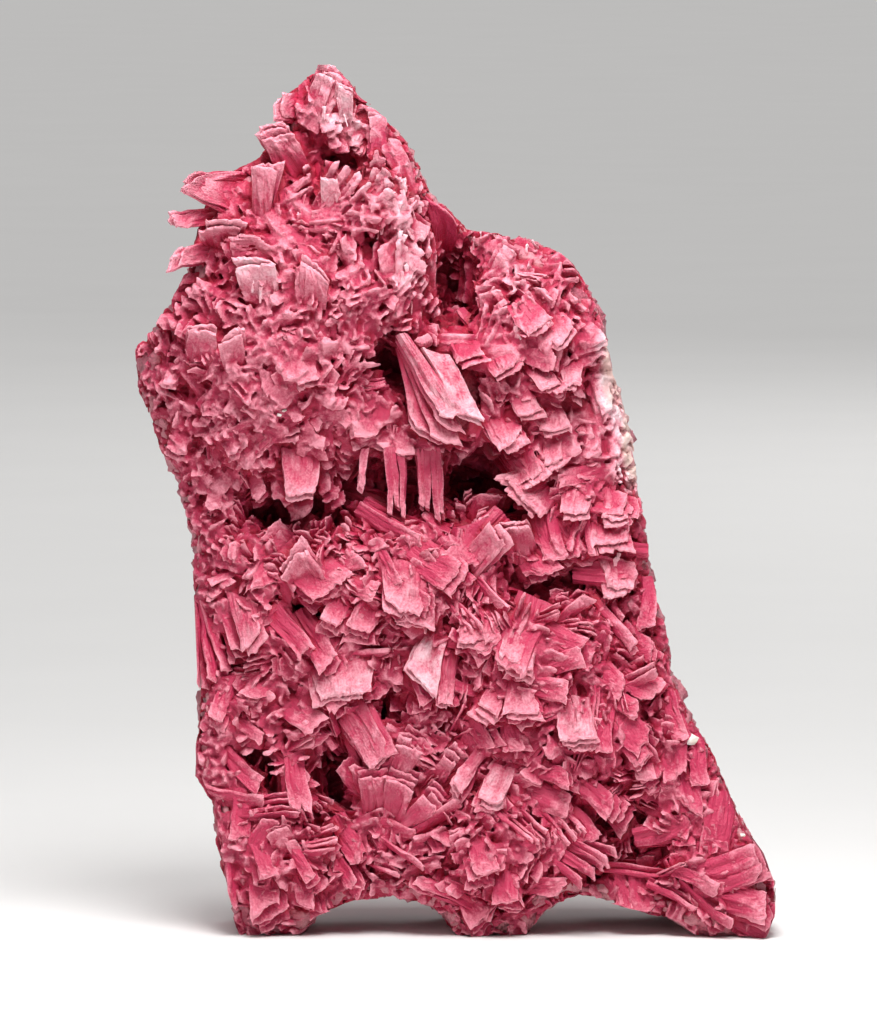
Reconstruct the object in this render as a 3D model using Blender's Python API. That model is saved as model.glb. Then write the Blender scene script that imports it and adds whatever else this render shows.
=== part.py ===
"""A standing rhodonite specimen: bladed pink crystals grown together on massive rhodonite.

The specimen is one solid. Its massive part is an inflated outline, and each group of parallel
blades (a "book") is a thick plate with a chiselled end, fused to it.

Places on the front are given as across (mm to the right of the middle) and up (mm above the
foot) in a sight plane seen from SIGHT_DEG above the horizon, and forward (mm towards the eye).
"""

import math
import random

import bmesh
import bpy
from mathutils import Vector

MM = 0.001

# Driving dimensions, in millimetres and degrees
SIGHT_DEG = 5.0          # the front is laid out as seen from this far above the horizon
FOOT_CUT = 0.5           # height in the outline where the feet are cut flat
FRONT_DEPTH = 8.6        # middle plane to the tips of the blades, on the flat of the front
CRUST = 1.6              # blades stand this far above the massive part
RIM_FULLNESS = 0.34      # share of the front's depth that is left at the rim of the outline
FOOT_FULLNESS = 0.72     # the same along the bottom, which is broad enough to stand on
DOME_POWER = 3.4
BELL_POWER = 1.6         # over 1: swells and hollows have flatter middles and steeper sides
OUTLINE_CENTRE = (-2.0, 38.0)
RIM_STEPS = 58           # points round the massive part
FRONT_RINGS = (0.95, 0.82, 0.62, 0.42, 0.2)
# The broken sides: (share of the outline, depth behind the middle plane, raggedness)
SIDE_RINGS = [(1.0, 2.5, 0.3), (1.0, 8.0, 0.5), (0.93, 14.5, 0.5)]
WAVER = (7.3, 3.1, 9.0)  # phase per ray and per ring that makes the broken sides uneven
EVEN_RAYS = 5            # inner rings average the outline over this many rays to each side
FOOT_FROM = 0.35         # how steeply a ray must fall to count as running to the foot,
FOOT_SPAN = 0.3          # and the range over which it comes to count fully
LEAF_GAP = 0.5           # blade to blade inside a book
ROOT = 1.6               # a plate goes on this far behind its blades' roots
SINK = 0.9               # a plate's back should lie this far inside the massive part,
SINK_SHARE = 0.7         # and is thickened by this share of what it lacks
SLANT_DEG = 24           # the ends of the blades are cut off at up to this angle
SEED = 11

# The back is broken along flat faces: (x, y, z) of a face's normal, and its distance from the
# centre of the outline in mm
BACK_BREAKS = [
    (0.04, 1.0, 0.06, 12.4),
    (-0.30, 0.88, 0.36, 20.0),
    (0.36, 0.86, 0.34, 19.0),
    (0.08, 0.80, 0.62, 28.4),
    (-0.62, 0.77, -0.14, 22.4),
    (0.66, 0.74, 0.02, 21.8),
    (-0.10, 0.93, -0.34, 19.6),
]

# Surface
ROSE = (0.55, 0.13, 0.2, 1.0)
ROSE_ROUGHNESS = 0.35
RHODONITE_IOR = 1.72

SIN_SIGHT = math.sin(math.radians(SIGHT_DEG))
COS_SIGHT = math.cos(math.radians(SIGHT_DEG))
RIGHT = Vector((1, 0, 0))
UPWARD = Vector((0, SIN_SIGHT, COS_SIGHT))
TOWARDS = Vector((0, -COS_SIGHT, SIN_SIGHT))

# The outline of the massive part from the front, clockwise from the peak: (across, up) in mm
OUTLINE = [
    # the knob, the long right slope and the saddle
    (-12.2, 86.9), (-10.7, 85.4), (-9.7, 83.4), (-7.4, 82.0), (-5.3, 79.9), (-3.6, 76.3),
    (-2.7, 74.2), (-1.0, 73.0), (0.9, 70.8),
    # the shoulder and the right edge down to the toe
    (6.3, 70.0), (10.3, 68.5), (12.6, 65.7), (14.7, 61.3), (15.2, 57.7), (16.6, 53.1),
    (17.7, 49.2), (18.0, 45.2), (18.9, 41.2), (19.1, 37.7), (20.1, 33.7), (21.2, 29.7),
    (21.5, 25.5), (23.3, 21.9), (25.5, 18.1), (27.1, 14.2), (28.2, 11.3), (30.2, 8.7),
    (31.7, 5.4), (31.8, 2.2), (30.6, -0.6), (24.4, -0.8),
    # the ragged foot: toe, middle and left corner reach the plane it stands on
    (22.6, 1.4), (19.3, 2.2), (15.5, 3.3), (11.8, 4.2), (9.0, 2.6), (6.6, -0.6), (0.4, -0.6),
    (-2.4, 2.8), (-6.2, 3.8), (-10.7, 3.4), (-14.4, 1.8), (-15.8, -0.6), (-21.8, -0.4),
    # the left edge up to the jagged upper corner
    (-22.8, 4.7), (-23.8, 9.2), (-24.2, 13.2), (-26.0, 16.2), (-25.9, 18.7), (-25.6, 23.2),
    (-25.7, 28.7), (-26.3, 34.2), (-26.6, 39.7), (-27.9, 45.2), (-29.6, 48.2), (-30.6, 52.2),
    (-31.9, 54.9), (-32.0, 58.7), (-30.0, 61.3), (-27.5, 65.0), (-26.0, 68.7), (-25.2, 72.2),
    (-24.0, 75.0), (-21.2, 76.9), (-18.0, 79.3), (-16.2, 80.9), (-17.3, 82.7), (-16.7, 84.4),
    (-14.5, 86.2),
]

# Swells and hollows of the front: (across, up, radius across, radius up, forward) in mm
SWELLS = [
    (-19.0, 63.5, 12.5, 13.0, 5.4),   # the upper left mound, which overhangs
    (-7.2, 72.0, 3.8, 9.5, 3.6),      # the ridge that runs down from the peak
    (-13.2, 83.9, 4.0, 3.4, 3.2),     # the knob
    (8.8, 61.5, 6.5, 5.5, 2.8),       # the shoulder
    (-1.6, 54.6, 4.5, 6.0, 3.2),      # the great fan of blades in the middle
    (-2.7, 36.5, 9.0, 5.5, 2.2),      # the shingled centre
    (6.5, 29.0, 8.0, 5.5, 2.0),
    (10.5, 20.0, 10.0, 6.0, 1.6),
    (-16.0, 33.0, 5.0, 5.0, 1.4),
    (3.5, 8.0, 10.0, 5.0, 2.2),
    (-18.5, 8.0, 6.0, 5.0, 1.8),
    (27.0, 4.7, 6.0, 6.0, 2.6),       # the toe
]
HOLLOWS = [
    (-0.4, 65.0, 2.8, 4.6, 9.4),      # the dark cleft between ridge and shoulder
    (-10.7, 77.2, 3.6, 2.0, 4.0),     # the pits under the knob
    (-8.2, 68.6, 1.8, 2.6, 4.4),      # the square pit
    (-6.6, 57.4, 2.2, 3.2, 7.0),
    (-26.8, 54.8, 2.4, 1.4, 2.0),
    (-10.0, 44.6, 15.0, 3.4, 3.0),    # the row of caves under the mound
    (-16.6, 42.4, 4.6, 2.2, 8.4),
    (-9.6, 45.6, 3.4, 3.0, 3.0),
    (-4.6, 45.0, 2.6, 3.0, 3.0),
    (2.6, 46.2, 3.8, 3.4, 9.4),
    (5.8, 42.4, 2.4, 1.4, 6.4),
    (13.2, 53.0, 1.2, 1.6, 3.0),
    (9.6, 35.2, 5.0, 2.4, 3.6),
    (-15.6, 32.6, 2.2, 1.8, 7.4),
    (-21.8, 28.4, 1.4, 3.0, 2.8),
    (-21.0, 18.6, 1.8, 1.8, 4.6),
    (-18.6, 16.6, 1.4, 2.4, 5.0),
    (-12.4, 15.6, 2.4, 3.8, 8.0),
    (-6.7, 22.6, 2.0, 1.5, 5.6),
    (16.4, 11.6, 2.8, 1.6, 4.8),
    (14.2, 6.8, 2.0, 1.8, 3.8),
    (19.0, 8.4, 3.4, 2.0, 3.0),
]

# Books of blades by region. Each row is (across, up, length, width, heading, lean, roll,
# leaves): the middle of the front blade, its size in mm, the angle that its tip points to
# (0 right, 90 up), how far the tip leans out, the turn about its length, and how many lie
# behind each other.
BOOKS = {
    "knob": [
        (-13.3, 84.3, 4.4, 3.2, 60, 10, 0, 3), (-16.4, 83.1, 2.4, 2.0, 150, 20, 0, 2),
        (-10.7, 83.9, 2.9, 1.6, 80, 10, 20, 3), (-12.7, 81.5, 2.6, 2.2, -80, 30, 0, 3),
        (-15.6, 80.2, 2.4, 2.0, 200, 30, 0, 2), (-11.8, 79.6, 2.4, 0.9, -90, 10, 50, 3),
        (-13.8, 78.6, 2.4, 1.0, -90, 10, -40, 3),
    ],
    "ridge": [
        (-7.4, 79.6, 5.0, 2.6, 95, 10, 25, 3), (-9.0, 78.2, 3.8, 1.5, 90, 15, 0, 3),
        (-5.6, 77.2, 5.0, 1.8, 110, 10, 40, 3), (-7.2, 73.4, 3.2, 1.8, 50, 20, 40, 4),
        (-5.4, 72.0, 4.0, 1.8, 100, 15, 30, 3), (-7.0, 69.0, 5.4, 1.2, 90, 12, 55, 3),
        (-5.9, 66.4, 6.0, 1.4, 92, 12, 50, 3), (-4.4, 63.2, 5.0, 2.0, 80, 15, 30, 3),
        (-1.2, 71.4, 4.4, 2.8, 130, 8, 25, 2), (-3.4, 67.6, 5.0, 2.4, 95, 12, 25, 3),
    ],
    "upper_corner": [
        (-16.7, 77.9, 5.4, 2.9, 138, 15, 15, 3), (-19.5, 77.0, 5.0, 1.8, 160, 15, 30, 3),
        (-24.3, 75.3, 5.4, 3.0, 190, 12, -10, 3), (-26.4, 72.2, 4.6, 1.8, 181, 8, 50, 3),
        (-18.9, 73.4, 4.6, 3.0, -82, 25, 0, 2), (-22.9, 71.5, 3.6, 2.8, -95, 25, 0, 2),
        (-25.0, 69.4, 3.2, 2.8, -112, 28, 0, 2), (-27.2, 67.2, 4.0, 2.0, 184, 10, 30, 2),
        (-21.0, 75.2, 3.4, 2.4, -150, 20, 20, 2), (-12.9, 74.5, 2.8, 1.5, 95, 25, -20, 2),
        (-15.7, 73.7, 4.2, 1.1, 30, 12, 60, 2), (-15.2, 71.8, 2.8, 2.2, -60, 22, 0, 2),
        (-10.2, 73.2, 4.8, 1.2, 45, 12, 62, 5), (-10.5, 70.6, 5.2, 0.9, 0, 12, 70, 3),
        (-12.4, 68.0, 5.0, 1.2, -90, 12, 30, 3), (-9.3, 68.0, 3.4, 1.0, 90, 5, 20, 2),
        (-17.7, 70.2, 2.8, 1.9, -60, 25, 0, 2), (-14.7, 69.0, 3.2, 2.0, -72, 22, -15, 2),
    ],
    "mound": [
        (-19.4, 68.1, 3.4, 6.2, 98, 28, 0, 2), (-19.2, 65.0, 3.8, 3.6, 122, 28, 0, 2),
        (-16.8, 65.5, 2.4, 2.0, 110, 28, 0, 2), (-13.9, 65.2, 4.6, 3.8, 100, 25, 18, 3),
        (-11.0, 62.6, 3.6, 2.2, 95, 25, 0, 3), (-10.2, 60.9, 3.2, 1.2, -90, 15, 30, 3),
        (-24.2, 64.8, 3.2, 1.6, 170, 22, 40, 3), (-25.8, 63.2, 3.8, 1.8, 175, 18, 30, 3),
        (-22.9, 62.0, 3.2, 1.4, 120, 25, 40, 3), (-20.2, 61.6, 3.2, 1.4, 122, 25, 40, 3),
        (-27.8, 61.2, 4.2, 1.8, 160, 16, 10, 3), (-25.6, 60.0, 3.6, 2.2, 150, 22, 20, 2),
        (-29.2, 59.2, 2.8, 1.2, 120, 18, 50, 3), (-30.9, 58.6, 2.4, 1.6, 172, 14, 0, 2),
        (-23.5, 58.0, 2.4, 1.1, 60, 25, 20, 2), (-19.4, 58.4, 2.8, 1.4, 60, 25, 30, 3),
        (-25.0, 53.8, 4.0, 2.8, -70, 30, 10, 2), (-21.2, 54.6, 3.0, 2.0, -40, 25, 0, 2),
        (-16.0, 57.6, 3.8, 2.8, -70, 25, 0, 2), (-11.4, 58.7, 6.0, 1.0, 5, 14, 65, 4),
        (-10.8, 56.8, 6.2, 1.0, 6, 14, 60, 4), (-8.7, 52.7, 5.0, 3.6, -85, 15, -15, 4),
        (-18.0, 49.5, 5.6, 0.9, 40, 14, 60, 2), (-20.8, 51.2, 4.2, 0.9, 30, 16, 60, 3),
        (-14.6, 50.0, 3.4, 1.8, -30, 22, 20, 3), (-28.0, 56.4, 3.0, 2.0, -120, 22, 10, 2),
        (-23.0, 49.6, 3.4, 2.2, -60, 25, 10, 2), (-27.6, 50.6, 3.6, 2.4, -100, 25, 0, 2),
        (-13.6, 54.0, 3.2, 2.0, -45, 22, 15, 3), (-17.8, 53.2, 3.2, 1.6, 50, 22, 30, 3),
    ],
    "overhang_fringe": [
        (-16.5, 46.2, 5.0, 3.1, -83, 25, 0, 2), (-13.3, 47.0, 6.0, 2.0, -85, 20, 30, 3),
        (-10.7, 48.4, 2.8, 1.5, -110, 18, 10, 2), (-9.4, 47.0, 5.2, 1.3, -100, 15, 35, 3),
        (-6.5, 44.7, 5.8, 0.9, -90, 10, 60, 3), (-5.6, 46.0, 6.2, 1.0, -90, 10, 50, 3),
        (-3.0, 44.4, 5.6, 2.2, -78, 14, 40, 4), (-5.7, 50.0, 3.6, 1.8, -88, 18, 10, 2),
        (-2.8, 48.4, 3.2, 2.6, -80, 14, 0, 2), (-20.6, 45.8, 4.6, 2.0, -70, 22, 10, 3),
        (-24.0, 44.6, 4.4, 2.2, -100, 18, -10, 2),
    ],
    "fan": [
        (-1.7, 54.6, 13.2, 5.6, -50, 14, -24, 6), (-3.2, 50.0, 4.4, 2.4, -35, 22, 0, 2),
        (2.9, 54.6, 5.8, 1.1, -55, 14, 60, 4), (5.0, 50.1, 3.4, 3.2, -40, 26, -10, 3),
        (6.4, 47.2, 5.8, 3.8, -42, 22, 0, 3), (9.0, 44.7, 6.2, 2.4, -50, 16, 20, 3),
    ],
    "shoulder": [
        (1.8, 66.4, 3.8, 1.8, 95, 12, -20, 3), (3.4, 63.4, 2.8, 2.6, 100, 28, 0, 3),
        (9.4, 65.6, 5.6, 1.5, 5, 14, 50, 4), (8.8, 61.5, 4.6, 3.8, -45, 24, 0, 3),
        (12.8, 61.0, 4.4, 3.4, -42, 14, -20, 2), (7.2, 58.6, 5.4, 3.0, -15, 22, 0, 3),
        (0.6, 61.4, 5.2, 2.2, -172, 20, 10, 3), (2.2, 58.0, 8.2, 3.6, -4, 14, 15, 3),
        (8.0, 56.0, 4.2, 3.0, -12, 22, 0, 2), (11.8, 56.2, 4.8, 1.7, -80, 12, -40, 3),
        (14.2, 55.6, 6.4, 1.9, -76, 10, -20, 4), (8.4, 52.8, 4.0, 3.4, -86, 18, 0, 3),
        (5.8, 53.8, 4.2, 1.8, -80, 14, 40, 4), (13.8, 50.2, 3.8, 2.4, -86, 18, 0, 2),
        (15.6, 49.8, 3.4, 1.6, -86, 14, 0, 2), (10.4, 49.8, 5.0, 3.4, -60, 16, 0, 2),
        (4.8, 67.2, 3.4, 2.2, 60, 16, 20, 3), (11.0, 67.0, 3.0, 2.0, 40, 12, 20, 3),
    ],
    "right_flank": [
        (11.8, 46.0, 3.4, 2.0, -170, 20, 10, 3), (16.2, 44.0, 5.2, 2.6, -5, 14, -30, 3),
        (16.8, 41.6, 3.8, 2.2, -20, 14, 10, 2), (11.6, 40.4, 4.0, 1.0, -97, 14, 40, 1),
        (12.7, 40.4, 4.0, 1.0, -88, 14, 40, 1), (16.8, 36.8, 4.6, 3.8, -4, 12, 0, 4),
        (13.8, 36.6, 3.6, 1.6, -85, 14, -40, 2), (9.8, 40.0, 4.8, 3.4, -70, 14, 0, 2),
        (5.9, 41.4, 3.8, 1.8, 20, 18, 20, 2), (7.4, 37.8, 4.6, 3.6, -60, 20, 0, 3),
        (15.6, 31.0, 6.0, 1.8, -50, 14, 30, 4), (18.4, 32.6, 3.8, 2.0, -100, 14, 10, 2),
        (19.0, 29.2, 4.6, 2.4, -22, 12, 0, 2), (18.4, 26.4, 6.2, 2.8, -30, 12, -20, 2),
        (19.6, 23.8, 5.2, 1.6, 25, 14, 50, 3), (22.0, 21.2, 3.6, 2.2, -75, 12, 0, 3),
        (11.8, 32.2, 4.6, 1.4, 35, 12, 40, 3), (16.4, 39.0, 3.4, 2.0, 170, 16, 10, 2),
    ],
    "centre": [
        (-9.7, 42.7, 7.2, 1.6, -30, 16, 50, 4), (-6.2, 40.6, 6.2, 2.0, -30, 18, 35, 4),
        (2.3, 38.9, 5.4, 3.2, -130, 18, 0, 3), (2.3, 42.2, 4.2, 2.8, 65, 12, 0, 2),
        (-2.5, 37.7, 6.8, 3.8, -35, 22, 0, 4), (-5.2, 35.2, 6.2, 2.6, -30, 20, 20, 4),
        (-5.7, 33.1, 3.2, 2.4, -62, 34, 0, 3), (-0.2, 32.2, 6.2, 1.1, -52, 14, 62, 5),
        (2.8, 34.6, 5.0, 1.7, -50, 18, 40, 5), (6.5, 29.7, 6.4, 4.2, -112, 22, 0, 3),
        (2.4, 30.6, 4.2, 3.4, -60, 18, 0, 2), (-3.0, 26.5, 5.6, 3.4, -70, 22, -10, 3),
        (-0.8, 25.4, 4.6, 2.0, -85, 16, 0, 3), (0.8, 28.9, 3.2, 2.2, -20, 22, 0, 3),
        (1.0, 25.0, 2.6, 1.6, 170, 16, 20, 3), (3.2, 23.7, 3.6, 2.8, -75, 26, 0, 3),
        (6.3, 23.5, 4.2, 3.6, -65, 20, 0, 3), (1.7, 21.2, 5.2, 2.1, -60, 14, 30, 3),
        (10.4, 27.8, 4.6, 2.4, 15, 16, 0, 2), (9.2, 24.8, 3.8, 3.0, -10, 18, 0, 2),
        (10.8, 30.0, 4.0, 2.6, -30, 16, 0, 3), (12.0, 21.5, 4.8, 3.8, -85, 22, 0, 3),
        (15.0, 20.6, 4.6, 2.2, -88, 16, 0, 2), (17.0, 20.4, 4.6, 3.0, -55, 16, 0, 2),
        (16.2, 23.7, 4.2, 2.6, -30, 18, 0, 2), (15.3, 25.8, 3.2, 2.2, -45, 20, 0, 2),
        (-9.4, 35.0, 3.0, 2.2, -20, 20, 0, 2), (5.2, 20.0, 3.6, 2.8, -70, 20, 0, 3),
    ],
    "left_flank": [
        (-17.5, 39.6, 3.6, 2.8, 130, 18, 0, 2), (-21.6, 38.1, 2.8, 2.2, 150, 20, 0, 2),
        (-19.5, 36.2, 3.4, 3.0, -95, 22, 0, 2), (-19.9, 43.2, 5.0, 1.3, -140, 14, 20, 3),
        (-13.6, 40.6, 3.2, 1.1, -115, 16, 20, 1), (-14.5, 35.9, 5.4, 4.6, -42, 20, -8, 4),
        (-11.0, 37.4, 2.6, 2.0, 20, 20, 0, 2), (-6.9, 37.0, 4.2, 1.5, -65, 16, 30, 3),
        (-24.5, 35.7, 3.6, 1.2, -145, 14, 40, 4), (-21.6, 31.5, 6.2, 3.4, -75, 18, -5, 3),
        (-24.0, 29.2, 6.2, 1.4, -75, 12, -40, 3), (-11.9, 32.5, 3.6, 2.8, -125, 24, 0, 2),
        (-8.9, 32.6, 4.2, 3.6, -118, 16, 0, 2), (-16.7, 29.7, 5.2, 3.0, -55, 20, 15, 5),
        (-13.9, 29.2, 5.0, 2.6, -60, 20, 10, 5), (-19.5, 28.2, 3.6, 1.0, 190, 14, 58, 4),
        (-11.7, 25.7, 3.6, 5.4, -84, 26, 0, 2), (-21.7, 25.4, 4.2, 2.2, 2, 16, 20, 3),
        (-9.6, 28.4, 4.6, 1.6, 8, 16, 50, 3), (-23.6, 23.0, 3.4, 2.0, -110, 14, 10, 2),
    ],
    "lower_left": [
        (-15.5, 21.8, 3.6, 3.0, -32, 24, 0, 2), (-9.0, 20.7, 6.8, 3.2, -65, 18, 8, 3),
        (-11.2, 19.8, 6.2, 1.0, -70, 12, 40, 2), (-16.6, 15.7, 6.6, 2.2, -83, 18, 0, 3),
        (-19.4, 16.6, 3.6, 1.2, -100, 12, 30, 1), (-14.4, 15.6, 4.2, 1.4, -80, 14, 40, 3),
        (-21.2, 16.2, 4.0, 2.4, -45, 18, 0, 3), (-21.6, 13.8, 4.2, 1.8, -10, 16, 30, 3),
        (-18.3, 12.0, 4.8, 1.1, 5, 16, 55, 3), (-19.0, 10.3, 2.8, 2.2, 60, 20, 0, 2),
        (-19.6, 7.4, 3.8, 2.2, -75, 20, 0, 3), (-19.4, 4.4, 3.6, 3.8, -88, 14, 0, 3),
        (-22.2, 5.4, 4.2, 1.6, -88, 10, -30, 2), (-15.7, 7.5, 4.4, 2.0, -60, 20, 10, 2),
        (-14.0, 8.2, 4.2, 0.8, 10, 14, 66, 4), (-11.4, 11.6, 4.8, 2.6, -30, 22, 0, 3),
        (-10.4, 9.2, 3.8, 2.6, -60, 18, 0, 2), (-11.4, 6.4, 3.2, 2.4, -60, 16, 30, 4),
        (-20.8, 20.8, 3.2, 1.8, -30, 18, 10, 3), (-22.6, 10.6, 3.6, 2.0, -95, 12, 0, 2),
        (-15.4, 4.6, 3.2, 2.4, -80, 12, 10, 3),
    ],
    "lower_middle": [
        (-7.2, 14.9, 5.2, 4.6, 108, 20, 0, 3), (-4.8, 18.3, 4.8, 2.4, 20, 20, 0, 2),
        (-1.4, 16.9, 3.8, 2.8, 35, 18, 0, 2), (-4.2, 13.6, 5.2, 1.4, 40, 16, 10, 2),
        (-1.2, 13.2, 5.0, 1.6, 35, 16, 20, 2), (3.7, 15.2, 5.2, 3.0, -115, 22, 0, 3),
        (1.3, 16.3, 5.0, 1.9, -125, 18, 20, 4), (5.8, 13.8, 3.0, 2.8, -95, 18, 0, 2),
        (9.0, 14.2, 4.8, 2.6, -25, 18, 0, 3), (9.2, 16.4, 4.2, 2.0, -25, 18, 0, 3),
        (13.7, 14.8, 5.4, 2.8, -42, 22, 0, 4), (12.0, 10.6, 3.8, 3.4, -50, 20, 0, 3),
        (4.6, 11.6, 8.4, 1.0, -42, 14, 60, 4), (10.2, 7.4, 7.8, 1.3, -40, 14, 45, 4),
        (9.6, 11.0, 5.2, 0.9, -50, 14, 62, 3), (-1.7, 11.6, 5.4, 1.7, 35, 18, 40, 2),
        (2.4, 12.2, 3.4, 1.6, -30, 20, 30, 2), (2.6, 8.4, 4.8, 3.2, -80, 20, 0, 3),
        (4.8, 5.2, 3.8, 3.0, -85, 22, 0, 3), (8.2, 4.9, 4.4, 2.4, -12, 14, 0, 3),
        (-1.4, 4.6, 6.2, 1.7, 155, 14, 30, 4), (-4.8, 7.4, 4.2, 1.0, -35, 14, 60, 4),
        (-7.6, 6.4, 3.8, 1.1, -30, 14, 58, 4), (-6.2, 10.6, 3.8, 1.6, -20, 16, 30, 3),
        (1.2, 2.8, 3.4, 2.4, -60, 14, 0, 3),
    ],
    "toe": [
        (27.5, 6.5, 5.6, 3.6, 20, 14, 0, 3), (30.0, 6.4, 3.0, 2.6, 10, 10, 0, 2),
        (28.6, 3.0, 4.6, 4.0, -20, 12, 0, 2), (26.1, 10.5, 4.8, 3.4, -100, 14, 0, 2),
        (23.1, 14.4, 3.8, 2.8, -88, 18, 0, 3), (23.9, 16.8, 4.2, 1.8, -88, 14, 0, 3),
        (21.5, 17.2, 3.6, 2.4, -85, 18, 0, 3), (19.0, 17.2, 3.2, 2.2, -70, 22, 0, 3),
        (16.8, 9.2, 5.2, 1.6, 55, 14, 30, 2), (21.3, 10.7, 4.2, 2.4, 15, 10, 0, 2),
        (19.5, 6.8, 2.6, 2.0, 90, 12, 0, 2), (21.8, 7.2, 2.4, 1.6, 80, 12, 0, 2),
        (18.3, 3.8, 3.2, 2.8, -90, 16, 0, 2), (16.6, 4.0, 3.2, 1.6, -80, 14, 0, 2),
        (22.1, 3.4, 4.2, 1.0, -30, 14, 55, 5), (19.3, 5.8, 7.2, 0.9, -8, 12, 64, 3),
        (25.2, 2.6, 5.2, 1.2, -40, 12, 40, 2), (14.1, 8.7, 3.2, 0.9, 0, 14, 60, 4),
        (25.6, 13.6, 3.2, 2.2, -60, 12, 0, 2), (24.6, 5.2, 3.4, 1.8, -25, 14, 20, 3),
    ],
}


def forward_dome(share, fullness):
    """How full the depth is at this share of the way from the centre to the rim."""
    inner = max(0.0, 1.0 - share ** DOME_POWER) ** (1.0 / DOME_POWER)
    return fullness + (1.0 - fullness) * inner


def rim_distance(angle):
    """Centre to outline in the direction angle, in mm, by meeting the outline's sides."""
    cx, cy = OUTLINE_CENTRE
    dx, dy = math.cos(angle), math.sin(angle)
    best = 0.0
    for (ax, ay), (bx, by) in zip(OUTLINE, OUTLINE[1:] + OUTLINE[:1]):
        ex, ey = bx - ax, by - ay
        cross = dx * ey - dy * ex
        if abs(cross) < 1e-9:
            continue
        along = ((ax - cx) * ey - (ay - cy) * ex) / cross
        side = ((ax - cx) * dy - (ay - cy) * dx) / cross
        if along > 0 and -1e-9 <= side <= 1 + 1e-9:
            best = max(best, along)
    return best


def footward(angle):
    """1 where a ray from the centre runs down to the foot, 0 round the rest of the outline."""
    return min(1.0, max(0.0, (-math.sin(angle) - FOOT_FROM) / FOOT_SPAN))


def fullness_at(angle):
    """Depth left at the rim: broad along the foot, slimmer round the rest."""
    return RIM_FULLNESS + (FOOT_FULLNESS - RIM_FULLNESS) * footward(angle)


def bell(across, up, row):
    """One swell or hollow at this place."""
    x, z, rx, rz, height = row
    spread = ((across - x) / rx) ** 2 + ((up - z) / rz) ** 2
    return height * math.exp(-spread ** BELL_POWER)


def relief(across, up):
    """Forward depth of the front at full doming, in mm."""
    swell = sum(bell(across, up, row) for row in SWELLS)
    hollow = sum(bell(across, up, row) for row in HOLLOWS)
    return FRONT_DEPTH + swell - hollow


def front_depth(across, up):
    """The forward depth of the blades' tips at a place on the front, in mm."""
    cx, cy = OUTLINE_CENTRE
    angle = math.atan2(up - cy, across - cx)
    share = min(1.0, math.hypot(across - cx, up - cy) / rim_distance(angle))
    return relief(across, up) * forward_dome(share, fullness_at(angle))


def to_world(across, up, forward):
    """A place in the sight plane as a point in metres, standing on the foot."""
    height = up + max(0.0, forward) * SIN_SIGHT / COS_SIGHT - FOOT_CUT
    return Vector((across, -forward, height)) * MM


def rims():
    """Rim distances of the outline, as it is and evened out, for each ray."""
    angles = [2 * math.pi * k / RIM_STEPS for k in range(RIM_STEPS)]
    sharp = [rim_distance(a) for a in angles]
    reach = range(-EVEN_RAYS, EVEN_RAYS + 1)
    even = [sum(sharp[(k + j) % RIM_STEPS] for j in reach) / len(reach)
            for k in range(RIM_STEPS)]
    return angles, sharp, even


def ring_of_points(share, depth_at, ragged):
    """One closed ring of points; inner rings follow an evened-out outline."""
    cx, cy = OUTLINE_CENTRE
    fast, slow, ring = WAVER
    points = []
    for k, (angle, sharp, even) in enumerate(zip(*rims())):
        rim = even + (sharp - even) * min(1.0, share) ** 4
        waver = math.sin(fast * k) * math.cos(slow * k + ring * ragged)
        radius = share * rim + ragged * waver * (1.0 - footward(angle))
        across = cx + radius * math.cos(angle)
        up = cy + radius * math.sin(angle)
        points.append(to_world(across, up, depth_at(across, up)))
    return points


def massive_part():
    """A front sheet, broken sides and a flat back, cut by the planes of the breaks."""
    cx, cy = OUTLINE_CENTRE
    rings = [ring_of_points(s, lambda a, u: front_depth(a, u) - CRUST, 0.0)
             for s in reversed(FRONT_RINGS)]
    rings.append(ring_of_points(1.0, lambda a, u: front_depth(a, u) - CRUST, 0.0))
    for share, depth, ragged in SIDE_RINGS:
        rings.append(ring_of_points(share, lambda a, u, d=depth: -d, ragged))
    bm = bmesh.new()
    rows = [[bm.verts.new(p) for p in ring] for ring in rings]
    front_hub = bm.verts.new(to_world(cx, cy, front_depth(cx, cy) - CRUST))
    back_hub = bm.verts.new(to_world(cx, cy, -SIDE_RINGS[-1][1]))
    for k in range(RIM_STEPS):
        j = (k + 1) % RIM_STEPS
        bm.faces.new((rows[0][k], rows[0][j], front_hub))
        bm.faces.new((rows[-1][j], rows[-1][k], back_hub))
        for inner, outer in zip(rows, rows[1:]):
            bm.faces.new((outer[k], outer[j], inner[j], inner[k]))
    bmesh.ops.recalc_face_normals(bm, faces=bm.faces)
    for break_plane in BACK_BREAKS:
        break_off(bm, break_plane)
    bmesh.ops.triangulate(bm, faces=bm.faces)
    bmesh.ops.recalc_face_normals(bm, faces=bm.faces)
    return bm


def break_off(bm, break_plane):
    """Cut everything beyond one plane away and close the cut with a flat face."""
    x, y, z, distance = break_plane
    normal = Vector((x, y, z)).normalized()
    point = to_world(*OUTLINE_CENTRE, 0.0) + normal * distance * MM
    everything = list(bm.verts) + list(bm.edges) + list(bm.faces)
    cut = bmesh.ops.bisect_plane(
        bm, geom=everything, dist=1e-6, plane_co=point, plane_no=normal, clear_outer=True)
    edges = [item for item in cut["geom_cut"] if isinstance(item, bmesh.types.BMEdge)]
    bmesh.ops.edgeloop_fill(bm, edges=edges)


def blade_axes(heading, lean, roll):
    """Unit vectors along a blade, across it and out of its face."""
    flat = RIGHT * math.cos(heading) + UPWARD * math.sin(heading)
    along = flat * math.cos(lean) + TOWARDS * math.sin(lean)
    face = (TOWARDS - along * TOWARDS.dot(along)).normalized()
    side = along.cross(face)
    turned = face * math.cos(roll) + side * math.sin(roll)
    return along, along.cross(turned), turned


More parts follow.
